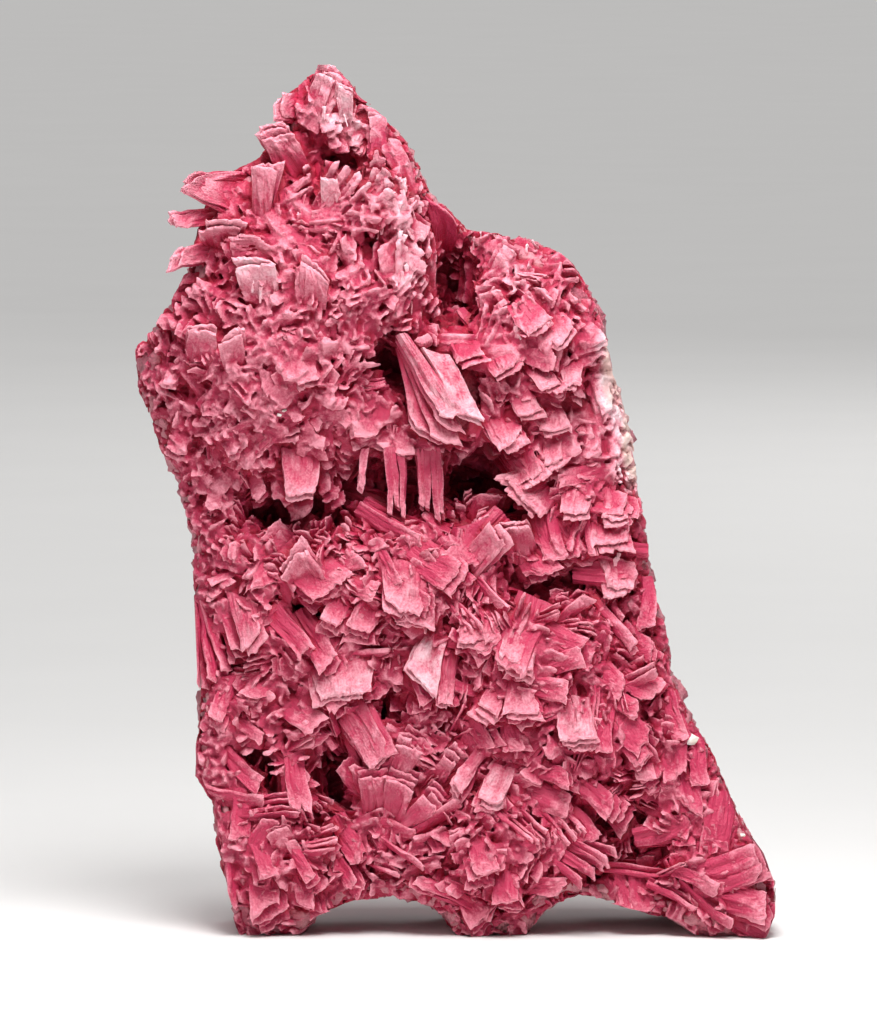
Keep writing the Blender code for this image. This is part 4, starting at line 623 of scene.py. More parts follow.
class Leaves:
    """Collects leaves with ragged ends, stepped faces and worn edges, pale with wear and painted
    highlight, and makes one mesh of them.

    A leaf's face is a grid: its rows follow the ragged tip, LEAF_ROWS mm behind it, and its
    columns run along the leaf, about step mm apart. A ring round its back closes it.
    """

    def __init__(self, seed, step):
        self.chance = np.random.default_rng(seed)
        self.step = step
        self.groups = {}

    def tip(self, u, width, reach, slant, rag):
        """How far each column reaches past the rest, and where the face splits into laths."""
        chance = self.chance
        laths = max(1, int(width / LATH_WIDTH + chance.random()))
        cuts = np.sort(chance.uniform(-0.5, 0.5, laths - 1))
        lath = np.searchsorted(cuts, u)
        level = chance.normal(0.0, rag, laths)
        level = 0.7 * level + 0.5 * np.roll(level, 1)
        chipped = np.where(chance.random(laths) < CHIPPED_LATHS, -0.5 * chance.random(laths), 0.0)
        tip = slant * u * width + (level + chipped)[lath] + chance.normal(0.0, 0.05, len(u))
        corner = np.clip((u * chance.choice((-1, 1)) - 0.2) / 0.3, 0.0, 1.0)
        tip -= corner * chance.choice((0.1, 0.3, 0.6)) * min(width, reach) * 0.35
        return np.clip(tip, *TIP_RANGE), cuts

    def steps(self, rows, u, width, reach):
        """Layers that stop short of the tip: how high the face stands at each place."""
        chance = self.chance
        height = np.zeros((len(rows), len(u)))
        for _ in range(min(MOST_STEPS, int(width * reach / AREA_PER_STEP + chance.random()))):
            first, span = chance.uniform(-0.6, 0.4), chance.uniform(0.15, 0.6)
            edge = chance.uniform(0.05, 0.75) * reach + chance.normal(0, 0.12, len(u))
            edge = edge + chance.uniform(-0.5, 0.5) * u * reach
            inside = (u > first) & (u < first + span)
            height += inside * (rows[:, None] > edge) * chance.uniform(0.06, 0.2)
        return height

    def face(self, width, reach, slant, look):
        """A leaf's face as a grid of across, along, lift, distance from the tip, rim and tone."""
        thick, rag, flare, _, tone, bow = look
        chance = self.chance
        rows = np.array([d for d in LEAF_ROWS if d < reach - 0.25] + [reach])
        columns = int(np.clip(round(width / self.step), 3, 26)) + 1
        u = np.linspace(-0.5, 0.5, columns)
        edge = np.abs(u) > 0.49
        ahead, cuts = self.tip(u, width, reach, slant, rag)
        along = np.maximum(0.0, reach - rows[:, None] + ahead * np.exp(-rows[:, None] / 1.3))
        share = np.minimum(1.0, along / reach)
        across = u * width * (flare + (1.0 - flare) * share)
        wander = np.cumsum(chance.normal(0, 0.045, (len(rows), 2)), axis=0)
        across[:, 0] += wander[:, 0]
        across[:, -1] += wander[:, 1]
        across[:, 1:-1] += chance.normal(0, 0.12 * self.step, (1, columns - 2))

        lift = self.steps(rows, u, width, reach)
        # Edges and the edges of ledges are pale, as wear and painted highlight
        rim = np.zeros_like(lift)
        rim[1:] = np.clip((lift[1:] - lift[:-1]) * 7.0, 0.0, 0.8)
        rim[0] = 1.0
        rim[:, edge] = 0.85
        wobble = np.cumsum(chance.normal(0, 0.035, len(rows)))[:, None]
        lath = np.searchsorted(cuts, u + wobble)
        boards = chance.normal(0, 0.03, lath.max() + 1)[lath]
        grooves = chance.normal(0, 0.014, columns) * chance.uniform(-0.3, 1.3, lift.shape)
        lift = lift + boards + grooves + chance.normal(0, 0.014, lift.shape) + bow * share ** 2
        lift[0] -= thick * chance.uniform(0.1, 0.9, columns)
        lift[:, edge] -= thick * chance.uniform(0.1, 0.9, (len(rows), 2))
        shade = (tone + chance.normal(0, 0.07, lath.max() + 1)[lath]
                 + chance.normal(0, 0.035, columns) * chance.uniform(-0.3, 1.3, lift.shape))
        return np.stack([across, along, lift, rows[:, None] + 0 * lift, rim, shade], -1)

    def add(self, root, axes, width, reach, slant, look, corners=None):
        """A leaf from its root; look is thickness, raggedness, flare, white dust with painted
        glint, tone and bow.

        With corners (root left, root right, tip right, tip left) it fills them instead.
        """
        thick, _, _, dust_and_glint, _, bow = look
        along, side, face = axes
        grid = self.face(width, reach, slant, look)
        ring = border(grid)
        ring[:, 2] = bow * (ring[:, 1] / reach) ** 2 - thick
        ring[:, 4] = 0.9
        flat = np.concatenate([grid.reshape(-1, 6), ring])
        if corners is None:
            spread = np.outer(flat[:, 0], side) + np.outer(flat[:, 1], along)
        else:
            a, b = flat[:, :1] / width + 0.5, flat[:, 1:2] / reach
            spread = ((corners[0] * (1 - a) + corners[1] * a) * (1 - b)
                      + (corners[3] * (1 - a) + corners[2] * a) * b)
        points = root + spread + np.outer(flat[:, 2], face)
        grain = flat[:, (0, 3, 4)]
        kind = np.stack([flat[:, 5], 0 * flat[:, 5], dust_and_glint + 0 * flat[:, 5]], -1)
        self.groups.setdefault(grid.shape[:2], []).append((points, grain, kind))

    def plant(self, centre, axes, width, length, root, slant, look):
        """Add a leaf by the middle of what shows of it, with its root that much deeper."""
        self.add(centre - axes[0] * (length / 2 + root), axes, width, length + root, slant, look)

    def cover(self, relief):
        """Press every leaf's face into the height field."""
        for (rows, columns), leaves in self.groups.items():
            faces = np.array([leaf[0][:rows * columns] for leaf in leaves])
            faces = faces.reshape(len(leaves), rows, columns, 3)
            wide = self.step > relief.CELL
            for r in range(rows - 1):
                gap = np.linalg.norm(faces[0, r] - faces[0, r + 1], axis=-1).max()
                count = max(1, int(gap / relief.CELL * 1.3))
                for s in range(count):
                    line = faces[:, r] + (faces[:, r + 1] - faces[:, r]) * s / count
                    relief.raise_to(line.reshape(-1, 3))
                    if wide:
                        relief.raise_to((0.5 * (line[:, 1:] + line[:, :-1])).reshape(-1, 3))

    def arrays(self):
        """All leaves as points, grain, kind, and the faces' corners and sizes."""
        points, grain, kind, loops, sizes = [], [], [], [], []
        base = 0
        for (rows, columns), leaves in sorted(self.groups.items()):
            grid = np.arange(rows * columns).reshape(rows, columns)
            rim = border(grid)
            ring = rows * columns + np.arange(len(rim))
            span = rows * columns + len(rim)
            starts = base + np.arange(len(leaves))[:, None] * span
            quads = np.stack([grid[:-1, :-1], grid[1:, :-1], grid[1:, 1:], grid[:-1, 1:]], -1)
            walls = np.stack([rim, np.roll(rim, -1), np.roll(ring, -1), ring], -1)
            quads = np.concatenate([quads.reshape(-1, 4), walls])
            loops.append((starts + quads.reshape(-1)).reshape(-1))
            sizes.append(np.full(len(leaves) * len(quads), 4))
            loops.append((starts + ring).reshape(-1))
            sizes.append(np.full(len(leaves), len(ring)))
            for store, part in ((points, 0), (grain, 1), (kind, 2)):
                store.append(np.concatenate([leaf[part] for leaf in leaves]))
            base += span * len(leaves)
        return [np.concatenate(v) for v in (points, grain, kind, loops, sizes)]

    def mesh(self, name, relief):
        """All leaves as one object, with painted shade and highlight from how shut in each place of
        it is, and painted shade towards the foot.
        """
        points, grain, kind, loops, sizes = self.arrays()
        # Painted shade in crevices and painted highlight on proud places
        kind[:, 1] = relief.painted_shading(points)
        # Painted shade: leaves are deeper and darker towards the foot
        kind[:, 0] -= FOOT_PAINTED_SHADE * np.clip(1.0 - points[:, 2] / LOW_TOP, 0.0, 1.0)
        points = held_back(points + wavering(points, LEAF_WARP), FILL_SHARE.get(name, 1.0))
        return mesh_object(name, points, loops, sizes, grain=grain, kind=kind)


def held_back(points, most):
    """Keep points, in mm, near the outline and inside the box of the CAD solid.

    Past a share of most of the way to the outline they go on at a fraction of the pace.
    """
    across, up, forward = from_world(points)
    share, _ = rim_share(across, up)
    held = np.where(share > most, most + OUTSIDE_PACE * (share - most), share)
    kept = held / np.maximum(share, 1e-6)
    cx, cy = OUTLINE_CENTRE
    return inside_box(to_world(cx + (across - cx) * kept, cy + (up - cy) * kept, forward))


def inside_box(points):
    """Keep points, in mm, above the floor and inside the box of the CAD solid."""
    low, high = (np.array(corner) / MM for corner in CAD_BOX)
    return np.clip(points, low, high)


def linked(name, data):
    """An object of some data, in the scene."""
    obj = bpy.data.objects.new(name, data)
    bpy.context.scene.collection.objects.link(obj)
    return obj


def mesh_object(name, points, loops, sizes, **layers):
    """A flat-shaded object from points in mm, with its vector attributes."""
    starts = np.concatenate([[0], np.cumsum(sizes)[:-1]])
    data = bpy.data.meshes.new(name)
    data.vertices.add(len(points))
    move_vertices(data, points)
    data.loops.add(len(loops))
    data.loops.foreach_set("vertex_index", loops.astype(np.int32))
    data.polygons.add(len(sizes))
    data.polygons.foreach_set("loop_start", starts.astype(np.int32))
    data.update(calc_edges=True)
    data.shade_flat()
    for label, values in layers.items():
        set_layer(data, label, values)
    return linked(name, data)


def move_vertices(data, points):
    """Put a mesh's vertices at points in mm."""
    data.vertices.foreach_set("co", (points * MM).astype(np.float32).reshape(-1))


def wavering(points, amount):
    """A smooth, small displacement that takes the ruler-straightness out of the blades."""
    moved = np.zeros_like(points)
    for scale, share, phase in ((1.1, 1.0, 0.3), (2.9, 0.45, 1.7), (6.1, 0.3, 4.1)):
        x, y, z = (points * scale + phase).T
        moved[:, 0] += share * np.sin(y + 0.7 * z + 1.3 * np.sin(0.6 * x))
        moved[:, 1] += share * np.sin(z + 0.8 * x + 1.1 * np.sin(0.7 * y))
        moved[:, 2] += share * np.sin(x + 0.6 * y + 1.2 * np.sin(0.5 * z))
    return moved * amount


def apply_modifier(obj, kind, **settings):
    """Give obj the mesh that one modifier makes of it."""
    modifier = obj.modifiers.new("step", kind)
    for label, value in settings.items():
        setattr(modifier, label, value)
    bpy.context.view_layer.update()
    evaluated = obj.evaluated_get(bpy.context.evaluated_depsgraph_get())
    data = bpy.data.meshes.new_from_object(evaluated)
    obj.modifiers.clear()
    obj.data = data


def vertex_arrays(data):
    """Points in mm and unit normals of a mesh."""
    count = len(data.vertices)
    points = np.zeros(count * 3, np.float32)
    normals = np.zeros(count * 3, np.float32)
    data.vertices.foreach_get("co", points)
    data.vertex_normals.foreach_get("vector", normals)
    return points.reshape(-1, 3).astype(float) / MM, normals.reshape(-1, 3).astype(float)


def set_layer(data, label, values):
    layer = data.attributes.new(label, "FLOAT_VECTOR", "POINT")
    layer.data.foreach_set("vector", values.astype(np.float32).reshape(-1))


# --- Books of leaves -------------------------------------------------------------------------

def dust_and_glint_at(across, up):
    """How much white dust with painted glints lies on the crystals at a place, 0 to 1."""
    return float(np.minimum(1.0, bells(np.array([across]), np.array([up]), DUST_AND_GLINT))[0])


def grow_book(plates, centre, axes, length, width, leaves, root_depth, rng, gap, thick, rag,
              fan, shingle):
    """Leaves on one root, shingled: each one behind reaches further. centre is on the front one."""
    along, side, face = axes
    slant = math.tan(math.radians(rng.uniform(-24, 24)))
    across, up, _ = from_world(centre)
    dust_and_glint = dust_and_glint_at(float(across), float(up))
    flare = rng.uniform(0.8, 1.0)
    reach = length + root_depth
    root = centre - along * (length / 2 + root_depth)
    step = rng.choice((-0.3, 0.5, 1.0, 1.0)) * shingle
    swing = rng.gauss(0.0, 3.0)
    for leaf in range(leaves):
        angle = -math.radians(fan) * leaf * rng.uniform(0.5, 1.5)
        leaf_along = turned_about(along, side, angle)
        leaf_face = turned_about(face, side, angle)
        if float(leaf_along @ face) > 0 and leaf:
            leaf_along = turned_about(along, side, -angle)
            leaf_face = turned_about(face, side, -angle)
        turn = math.radians(swing * leaf + rng.gauss(0, 2.5))
        leaf_along, leaf_side = (turned_about(v, leaf_face, turn) for v in (leaf_along, side))
        here = root - face * gap * leaf + side * rng.gauss(0, 0.06) * width
        this_reach = reach + step * leaf + rng.gauss(0, 0.12) * min(1.0, length / 3)
        this_width = width * rng.uniform(0.72, 1.04)
        look = (thick * rng.uniform(0.75, 1.3), rag, flare, dust_and_glint, rng.random(),
                rng.gauss(0, 0.025) * this_reach)
        plates.add(here, (leaf_along, leaf_side, leaf_face), this_width, this_reach,
                   slant + rng.gauss(0, 0.08), look)


def hero_book(plates, row, rng, pitch=BOOK_PITCH, thick=0.22, sink=0.0):
    """One of the books that were placed one by one."""
    across, up, length, width, heading, lean, roll, leaves = row
    axes = blade_axes(heading, lean, roll)
    across, up = held_in(across, up, heading, length)
    centre = to_world(across, up, float(front_depth(across, up)) - sink)
    edge_on = abs(roll) > 40
    count = max(1, round(leaves * BOOK_PITCH / pitch)) + 1
    grow_book(plates, centre, axes, length, width, count, 1.6, rng, gap=pitch,
              thick=thick, rag=0.07 + 0.04 * width, fan=rng.uniform(1.0, 3.5),
              shingle=0.1 if edge_on else 0.45)


def held_in(across, up, heading, length):
    """A blade's middle, moved back where its tip would cross the bare rim or the outline."""
    turn = math.radians(heading)
    ahead = np.array((math.cos(turn), math.sin(turn)))
    place = np.array((across, up))
    for _ in range(8):
        tip = place + ahead * length / 2
        share, _ = rim_share(*tip)
        if share < TIP_SHARE - 0.09 * smooth_rim(*tip):
            break
        place = place - 0.3 * (tip - OUTLINE_CENTRE) / np.linalg.norm(tip - OUTLINE_CENTRE)
    return place


def hero_shard(leaves, places, count, tone, dust_and_glint, rng):
    """Leaves behind each other, the front one between four places on the front.

    A place may say how far forward it is, or else it stands SHARD_LIFT off the front.
    """
    if len(places[0]) == 3:
        places, depths = [place[:2] for place in places], [place[2] for place in places]
    else:
        depths = front_depth(*np.array(places).T)
        depths = np.array((*depths[:2], depths.max(), depths.max())) + SHARD_LIFT
    corners = np.array([to_world(x, z, f) for (x, z), f in zip(places, depths)])
    along = 0.5 * (corners[2] + corners[3] - corners[0] - corners[1])
    side = 0.5 * (corners[1] + corners[2] - corners[0] - corners[3])
    face = unit(np.cross(along, side))
    face = face if float(face @ TOWARDS) > 0 else -face
    width, reach = np.linalg.norm(side), np.linalg.norm(along)
    for k in range(count):
        shift = (0.4 * k * unit(along) - 0.55 * k * face + rng.uniform(-0.1, 0.12) * k * side)
        turned = corners + shift
        turned[2:] += rng.gauss(0, 0.12) * k * side
        look = (0.24, 0.04 + 0.012 * width, 1.0, dust_and_glint, tone + rng.gauss(0, 0.08) * k, 0.0)
        leaves.add(np.zeros(3), (unit(along), unit(side), face), width, reach, 0.0, look, turned)


def glints(leaves, rng):
    """Tiny white leaves where the crystals catch the light."""
    for across, up in GLINTS:
        for _ in range(2):
            x, z = across + rng.gauss(0, 0.3), up + rng.gauss(0, 0.3)
            axes = blade_axes(rng.gauss(90, 10), rng.uniform(0, 30), rng.uniform(-30, 30))
            length = rng.uniform(0.4, 0.8)
            centre = to_world(x, z, float(front_depth(x, z)) + rng.uniform(0.0, 0.4))
            look = (0.12, 0.05, 0.9, rng.uniform(0.5, 0.9), 1.0, 0.0)
            leaves.plant(centre, axes, rng.uniform(0.2, 0.45), length, 0.8, 0.2, look)


def cell_frame(across, up, size, salt):
    """Neighbouring books share a direction: one per cell of a jittered grid."""
    best, pick = 1e9, None
    gx, gy = math.floor(across / size), math.floor(up / size)
    for ix in (gx - 1, gx, gx + 1):
        for iy in (gy - 1, gy, gy + 1):
            rng = random.Random(ix * CELL_PRIMES[0] + iy * CELL_PRIMES[1] + salt)
            px, py = (ix + rng.random()) * size, (iy + rng.random()) * size
            distance = (px - across) ** 2 + (py - up) ** 2
            if distance < best:
                best = distance
                pick = (rng.uniform(0, 360), rng.random(), rng.uniform(12, 40))
    return pick


def scattered(spacing, rng, area, high_share):
    """Jittered places in an area, spacing mm apart: rows of across, up, depth and rim share."""
    xs = np.arange(-34, 34, spacing)
    ys = np.arange(-1, 88, spacing)
    places = [(x + rng.uniform(-0.5, 0.5) * spacing, y + rng.uniform(-0.5, 0.5) * spacing)
              for x in xs for y in ys]
    across, up = np.array(places).T
    share, angle = rim_share(across, up)
    left, right, low, high = area
    rough = np.maximum(footward(angle), jagged_rim(up))
    keep = (across >= left) & (across < right) & (up >= low) & (up < high)
    keep &= share <= high_share + 0.05 * rough - 0.055 * smooth_rim(across, up)
    keep &= bells(across, up, CLEARINGS) < 0.4
    return np.stack([across, up, front_depth(across, up), share], -1)[keep]


def jagged_rim(up):
    """1 along the jagged upper edges, where crystals cover the rim, 0 elsewhere."""
    return np.clip((up - JAGGED_FROM) / 2, 0, 1)


def between(up, low, high):
    """1 between two heights, 0 outside them, with 3 mm from one to the other."""
    return np.clip((high - up) / 3, 0, 1) * np.clip((up - low) / 3, 0, 1)


def smooth_rim(across, up):
    """1 along the left and right edges, whose rock is bare and smooth, 0 elsewhere."""
    return between(up, *BARE_LEFT) * (across < -10) + between(up, *BARE_RIGHT) * (across > 5)


def fill_books(plates, area, rng, spacing, sinks, lengths, widths, leaves, cell, salt,
               gap=0.3, thick=(0.12, 0.2), high_share=0.96, edge_share=0.5):
    """Books between the large ones, at a depth below the tips, parallel within a cell."""
    for across, up, depth, share in scattered(spacing, rng, area, high_share):
        heading, style, lean = cell_frame(across, up, cell, salt)
        near_rim = max(0.0, (share - 0.82) / 0.13)
        heading += rng.gauss(0, 10)
        lean += rng.gauss(0, 6)
        edge_on = style < edge_share
        roll = rng.gauss(0, 14) + (0 if not edge_on else 60 if style < edge_share / 2 else -60)
        axes = blade_axes(heading, lean, roll)
        forward = depth - rng.uniform(*sinks) - 0.5 * near_rim
        size = 1.0 - 0.45 * min(1.0, near_rim)
        length, width = rng.uniform(*lengths) * size, rng.uniform(*widths) * size
        if edge_on:
            width *= 0.6
        grow_book(plates, to_world(across, up, forward), axes, length, width,
                  rng.choice(leaves), 1.0, rng, gap=gap, thick=rng.uniform(*thick),
                  rag=0.08, fan=rng.uniform(1.0, 5.0), shingle=0.25)


# --- The fused crust -------------------------------------------------------------------------

def crust_plates(area, size, rng):
    """Thick little plates all over an area, to be fused. size is 1 for the finest crust."""
    plates = Leaves(CRUST_SEED, CRUST_STEP)
    fill_books(plates, area, rng, spacing=1.3 * size, sinks=(0.1, 1.3),
               lengths=(1.2 * size, 2.8 * size), widths=(1.2, 2.8), leaves=(1, 2, 3),
               cell=2.6 * size, salt=11, gap=0.62, thick=(0.22, 0.32), high_share=0.95,
               edge_share=0.6)
    flakes(plates, area, 0.85 * size, rng)
    sugar(plates, area, rng)
    return plates


def flakes(plates, area, spacing, rng):
    """Single small plates over everything."""
    for across, up, depth, _ in scattered(spacing, rng, area, 0.96):
        heading, _, lean = cell_frame(across, up, 1.7, 29)
        axes = blade_axes(heading + rng.gauss(0, 25), lean + rng.uniform(-10, 30),
                          rng.choice((-1, 1)) * rng.gauss(40, 25))
        length = rng.uniform(0.9, 2.0)
        width = length * rng.uniform(0.5, 1.1)
        centre = to_world(across, up, depth - rng.uniform(0.1, 1.5))
        dust_and_glint = min(1.0, dust_and_glint_at(across, up) + 0.08)
        look = (rng.uniform(0.2, 0.3), 0.1, rng.uniform(0.7, 1.0), dust_and_glint, rng.random(), 0.0)
        plates.plant(centre, axes, width, length, 0.4, rng.uniform(-0.5, 0.5), look)


def sugar(plates, area, rng):
    """Short blunt grains that make the bare rim rough."""
    for across, up, depth, share in scattered(0.55, rng, area, 1.055):
        if share <= 0.9 or smooth_rim(across, up) <= 0.5:
            continue
        axes = blade_axes(rng.uniform(0, 360), rng.uniform(30, 80), rng.uniform(0, 180))
        centre = to_world(across, up, depth - rng.uniform(0.3, 0.75))
        size = rng.uniform(0.5, 0.9)
        look = (rng.uniform(0.3, 0.5), 0.1, 0.9, 0.2, rng.random(), 0.0)
        plates.add(centre - axes[0] * 1.2, axes, size, 1.2 + size / 2, 0.0, look)


def backing_sheet(area):
    """A closed sheet under the crust, in which its plates root."""
    left, right, low, high = area
    xs = np.arange(left - SHEET_STEP, right + 2 * SHEET_STEP, SHEET_STEP)
    ys = np.arange(low - SHEET_STEP, high + 2 * SHEET_STEP, SHEET_STEP)
    across, up = np.meshgrid(xs, ys, indexing="ij")
    share, _ = rim_share(across, up)
    forward = front_depth(across, up) - SHEET_TOP - 2.5 * bells(across, up, CLEARINGS)
    places = to_world(across, up, forward) * MM
    bm = bmesh.new()
    corners = {(i, j): bm.verts.new(places[i, j]) for i, j in np.ndindex(share.shape)
               if share[i, j] < SHEET_SHARE}
    faces = []
    for i, j in corners:
        loop = [(i, j), (i, j + 1), (i + 1, j + 1), (i + 1, j)]
        if all(key in corners for key in loop):
            faces.append(bm.faces.new([corners[key] for key in loop]))
    lonely = [vert for vert in bm.verts if not vert.link_faces]
    bmesh.ops.delete(bm, geom=lonely, context="VERTS")
    grown = bmesh.ops.extrude_face_region(bm, geom=faces)
    back = [item for item in grown["geom"] if isinstance(item, bmesh.types.BMVert)]
    bmesh.ops.translate(bm, verts=back, vec=Vector((0, SHEET_THICK * MM, 0)))
    bmesh.ops.recalc_face_normals(bm, faces=bm.faces)
    return bm


def fused_crust(name, plates, relief):
    """Plates and sheet fused into one skin, roughened, with a tone around one level, darker in
    valleys as painted shade and pale on ridges as painted highlight.
    """
    area, level, _ = CRUSTS[name]
    points, _, _, loops, sizes = plates.arrays()
    points = held_back(points + wavering(points, CRUST_WARP), 1.0)
    crust = mesh_object(name, points, loops, sizes)
    bm = backing_sheet(area)
    bm.from_mesh(crust.data)
    bm.to_mesh(crust.data)
    bm.free()
    apply_modifier(crust, "REMESH", mode="VOXEL", voxel_size=CRUST_VOXEL)
    triangles = len(crust.data.polygons) * 2
    apply_modifier(crust, "DECIMATE", ratio=min(1.0, CRUST_TRIANGLES / triangles))
    data = crust.data
    points, normals = vertex_arrays(data)
    moved = points.copy()
    tone = np.zeros(len(points))
    for k, (p, n) in enumerate(zip(points, normals)):
        q = Vector(p)
        grit = noise.fractal(q * 2.6, 1.0, 2.0, 2)
        moved[k] = p + n * grit * 0.08
        tone[k] = level + 0.7 * noise.noise(q * 0.45)
    moved = inside_box(moved)
    move_vertices(data, moved)
    data.update()
    ridge = convexity(data, moved, normals)
    # Painted shade: valleys darker
    tone += 0.7 * np.clip(ridge, -1.0, 0.0)
    across, up, _ = from_world(moved)
    # White dust with painted glints; over 1 the same channel marks the cream-coloured crust
    dust_and_glint = np.clip(0.6 * bells(across, up, DUST_AND_GLINT), 0.0, 0.8) + 0.04
    dust_and_glint += np.clip(2.2 * bells(across, up, CREAM), 0.0, 1.8)
    nothing = np.zeros(len(moved))
    # Ridges pale through the edge channel, as painted highlight
    set_layer(data, "grain", np.stack([nothing, nothing + 1.2, np.clip(ridge, 0, 1)], -1))
    set_layer(data, "kind", np.stack([tone, relief.painted_shading(moved), dust_and_glint], -1))
    data.shade_flat()
    return crust


def convexity(data, points, normals):
    """1 where the surface is a sharp ridge, 0 where it is flat, -1 in a valley."""
    edges = np.zeros(len(data.edges) * 2, np.int32)
    data.edges.foreach_get("vertices", edges)
    edges = edges.reshape(-1, 2)
    total, ways = np.zeros_like(points), np.zeros(len(points))
    for a, b in ((0, 1), (1, 0)):
        np.add.at(total, edges[:, a], points[edges[:, b]] - points[edges[:, a]])
        np.add.at(ways, edges[:, a], 1.0)
    mean = total / np.maximum(ways, 1.0)[:, None]
    return np.clip(-(mean * normals).sum(1) * 9.0, -1.0, 1.0)


def loose_grains(rows, rng):
    """Small faceted grains of quartz, each a bead with its sides knocked flat."""
    points, loops, sizes = [], [], []
    for across, up, size in rows:
        bm = bmesh.new()
        bmesh.ops.create_icosphere(bm, subdivisions=2, radius=size / 2)
        for _ in range(14):
            normal = Vector((rng.gauss(0, 1), rng.gauss(0, 1), rng.gauss(0, 1))).normalized()
            reach = size * rng.uniform(0.22, 0.4)
            for vert in bm.verts:
                over = vert.co.dot(normal) - reach
                if over > 0:
                    vert.co -= normal * over
        centre = to_world(across, up, float(front_depth(across, up)) - 0.1 * size)
        base = len(points)
        bm.verts.index_update()
        points += [centre + np.array(vert.co) * QUARTZ_STRETCH for vert in bm.verts]
        for face in bm.faces:
            loops += [base + vert.index for vert in face.verts]
            sizes.append(len(face.verts))
        bm.free()
    points = inside_box(np.array(points))
    return mesh_object("quartz_grains", points, np.array(loops), np.array(sizes))


# --- The massive rock ------------------------------------------------------------------------

def rock_form():
    """The massive part in rings from its middle out and round to its back, and then broken."""
    cx, cy = OUTLINE_CENTRE
    angles = 2 * np.pi * np.arange(ROCK_RAYS) / ROCK_RAYS
    sharp = rim_distance(angles)
    reach = range(-RIM_EVENED, RIM_EVENED + 1)
    even = sum(np.roll(sharp, k) for k in reach) / len(reach)
    front = [(share, None) for share in (*np.linspace(0.06, 0.99, ROCK_RINGS), 1.0)]
    bm = bmesh.new()
    rings = []
    for share, depth in front + SIDE_RINGS:
        radius = share * (even + (sharp - even) * min(1.0, share) ** 4)
        across = cx + radius * np.cos(angles)
        up = cy + radius * np.sin(angles)
        forward = front_depth(across, up) - CRUST - ROCK_UNDER + rim_bead(share)
        if depth is not None:
            forward = np.full(ROCK_RAYS, -depth)
        rings.append([bm.verts.new(Vector(p) * MM) for p in to_world(across, up, forward)])
    hub = to_world(cx, cy, float(front_depth(cx, cy)) - CRUST - ROCK_UNDER)
    front_hub = bm.verts.new(Vector(hub) * MM)
    back_hub = bm.verts.new(Vector(to_world(cx, cy, -SIDE_RINGS[-1][1])) * MM)
    for k in range(ROCK_RAYS):
        j = (k + 1) % ROCK_RAYS
        bm.faces.new((rings[0][k], rings[0][j], front_hub))
        bm.faces.new((rings[-1][j], rings[-1][k], back_hub))
        for inner, outer in zip(rings, rings[1:]):
            bm.faces.new((outer[k], outer[j], inner[j], inner[k]))
    bmesh.ops.recalc_face_normals(bm, faces=bm.faces)
    for plane in BACK_BREAKS:
        break_off(bm, plane, Vector(to_world(cx, cy, 0.0)) * MM)
    bmesh.ops.triangulate(bm, faces=bm.faces)
    bmesh.ops.recalc_face_normals(bm, faces=bm.faces)
    return bm


def massive_rock(relief):
    """The massive part again, at rock detail: remeshed and roughened."""
    bm = rock_form()
    data = bpy.data.meshes.new("massive_rock")
    bm.to_mesh(data)
    bm.free()
    rock = linked("massive_rock", data)
    apply_modifier(rock, "REMESH", mode="VOXEL", voxel_size=ROCK_VOXEL, use_smooth_shade=True)
    roughen(rock.data, relief)
    apply_modifier(rock, "DECIMATE", ratio=0.5)
    points, _ = vertex_arrays(rock.data)
    move_vertices(rock.data, inside_box(points))
    return rock


def rim_bead(share):
    """The smooth roll of rock round the rim stands higher than the rock within."""
    return ROCK_BEAD * max(0.0, 1.0 - abs(share - 0.965) / 0.045) ** 0.5


def break_off(bm, plane, centre):
    """Cut everything beyond one plane away and close the cut."""
    x, y, z, distance = plane
    normal = Vector((x, y, z)).normalized()
    everything = list(bm.verts) + list(bm.edges) + list(bm.faces)
    cut = bmesh.ops.bisect_plane(bm, geom=everything, dist=1e-6,
                                 plane_co=centre + normal * distance * MM,
                                 plane_no=normal, clear_outer=True)
    edges = [item for item in cut["geom_cut"] if isinstance(item, bmesh.types.BMEdge)]
    bmesh.ops.edgeloop_fill(bm, edges=edges)


def hackly(q):
    """Height of a break made of flat facets, each tilted its own way."""
    middle = noise.voronoi(q, distance_metric="DISTANCE")[1][0]
    return (q - middle).dot(noise.noise_vector(middle * 7.3).normalized())


def roughen(mesh, relief):
    """Hackly, stepped breaks on the rock; its feet stay flat on the floor."""
    points, normals = vertex_arrays(mesh)
    across, up, forward = from_world(points)
    on_rim = np.clip(forward / 1.5, 0.0, 1.0)
    moved = points.copy()
    for k, (p, n) in enumerate(zip(points, normals)):
        q = Vector(p)
        lumps = noise.fractal(q * 0.11, 1.0, 2.0, 3) * 0.9
        steps = hackly(q * Vector((0.28, 0.28, 0.17))) * 1.2 + hackly(q * 0.8) * 0.45 - 0.6
        grit = noise.fractal(q * 1.1, 1.0, 2.0, 3) * 0.32
        sugary = noise.fractal(q * 0.8, 1.0, 2.0, 4) * 0.5
        calm = min(1.0, max(0.0, (p[2] - 0.3) / 1.5))
        rough = (lumps + steps) * (1.0 - on_rim[k]) + sugary * on_rim[k] + grit - 0.1
        moved[k] = p + n * rough * calm
    moved = inside_box(moved)
    move_vertices(mesh, moved)
    cream = bells(across, up, CREAM) * np.clip(forward / 5.0 + 1.0, 0.0, 1.0) * (across > 0)
    share, _ = rim_share(across, up)
    # Painted shade on the rock where it shows between the crystals, from how shut in it is
    painted_shading = relief.painted_shading(moved) * on_rim * np.clip((0.96 - share) / 0.03, 0.0, 1.0)
    kind = np.stack([np.clip((share - 0.86) / 0.06, 0, 1), painted_shading, np.clip(cream, 0, 1)], -1)
    set_layer(mesh, "kind", kind)
    mesh.update()


# --- Materials -------------------------------------------------------------------------------

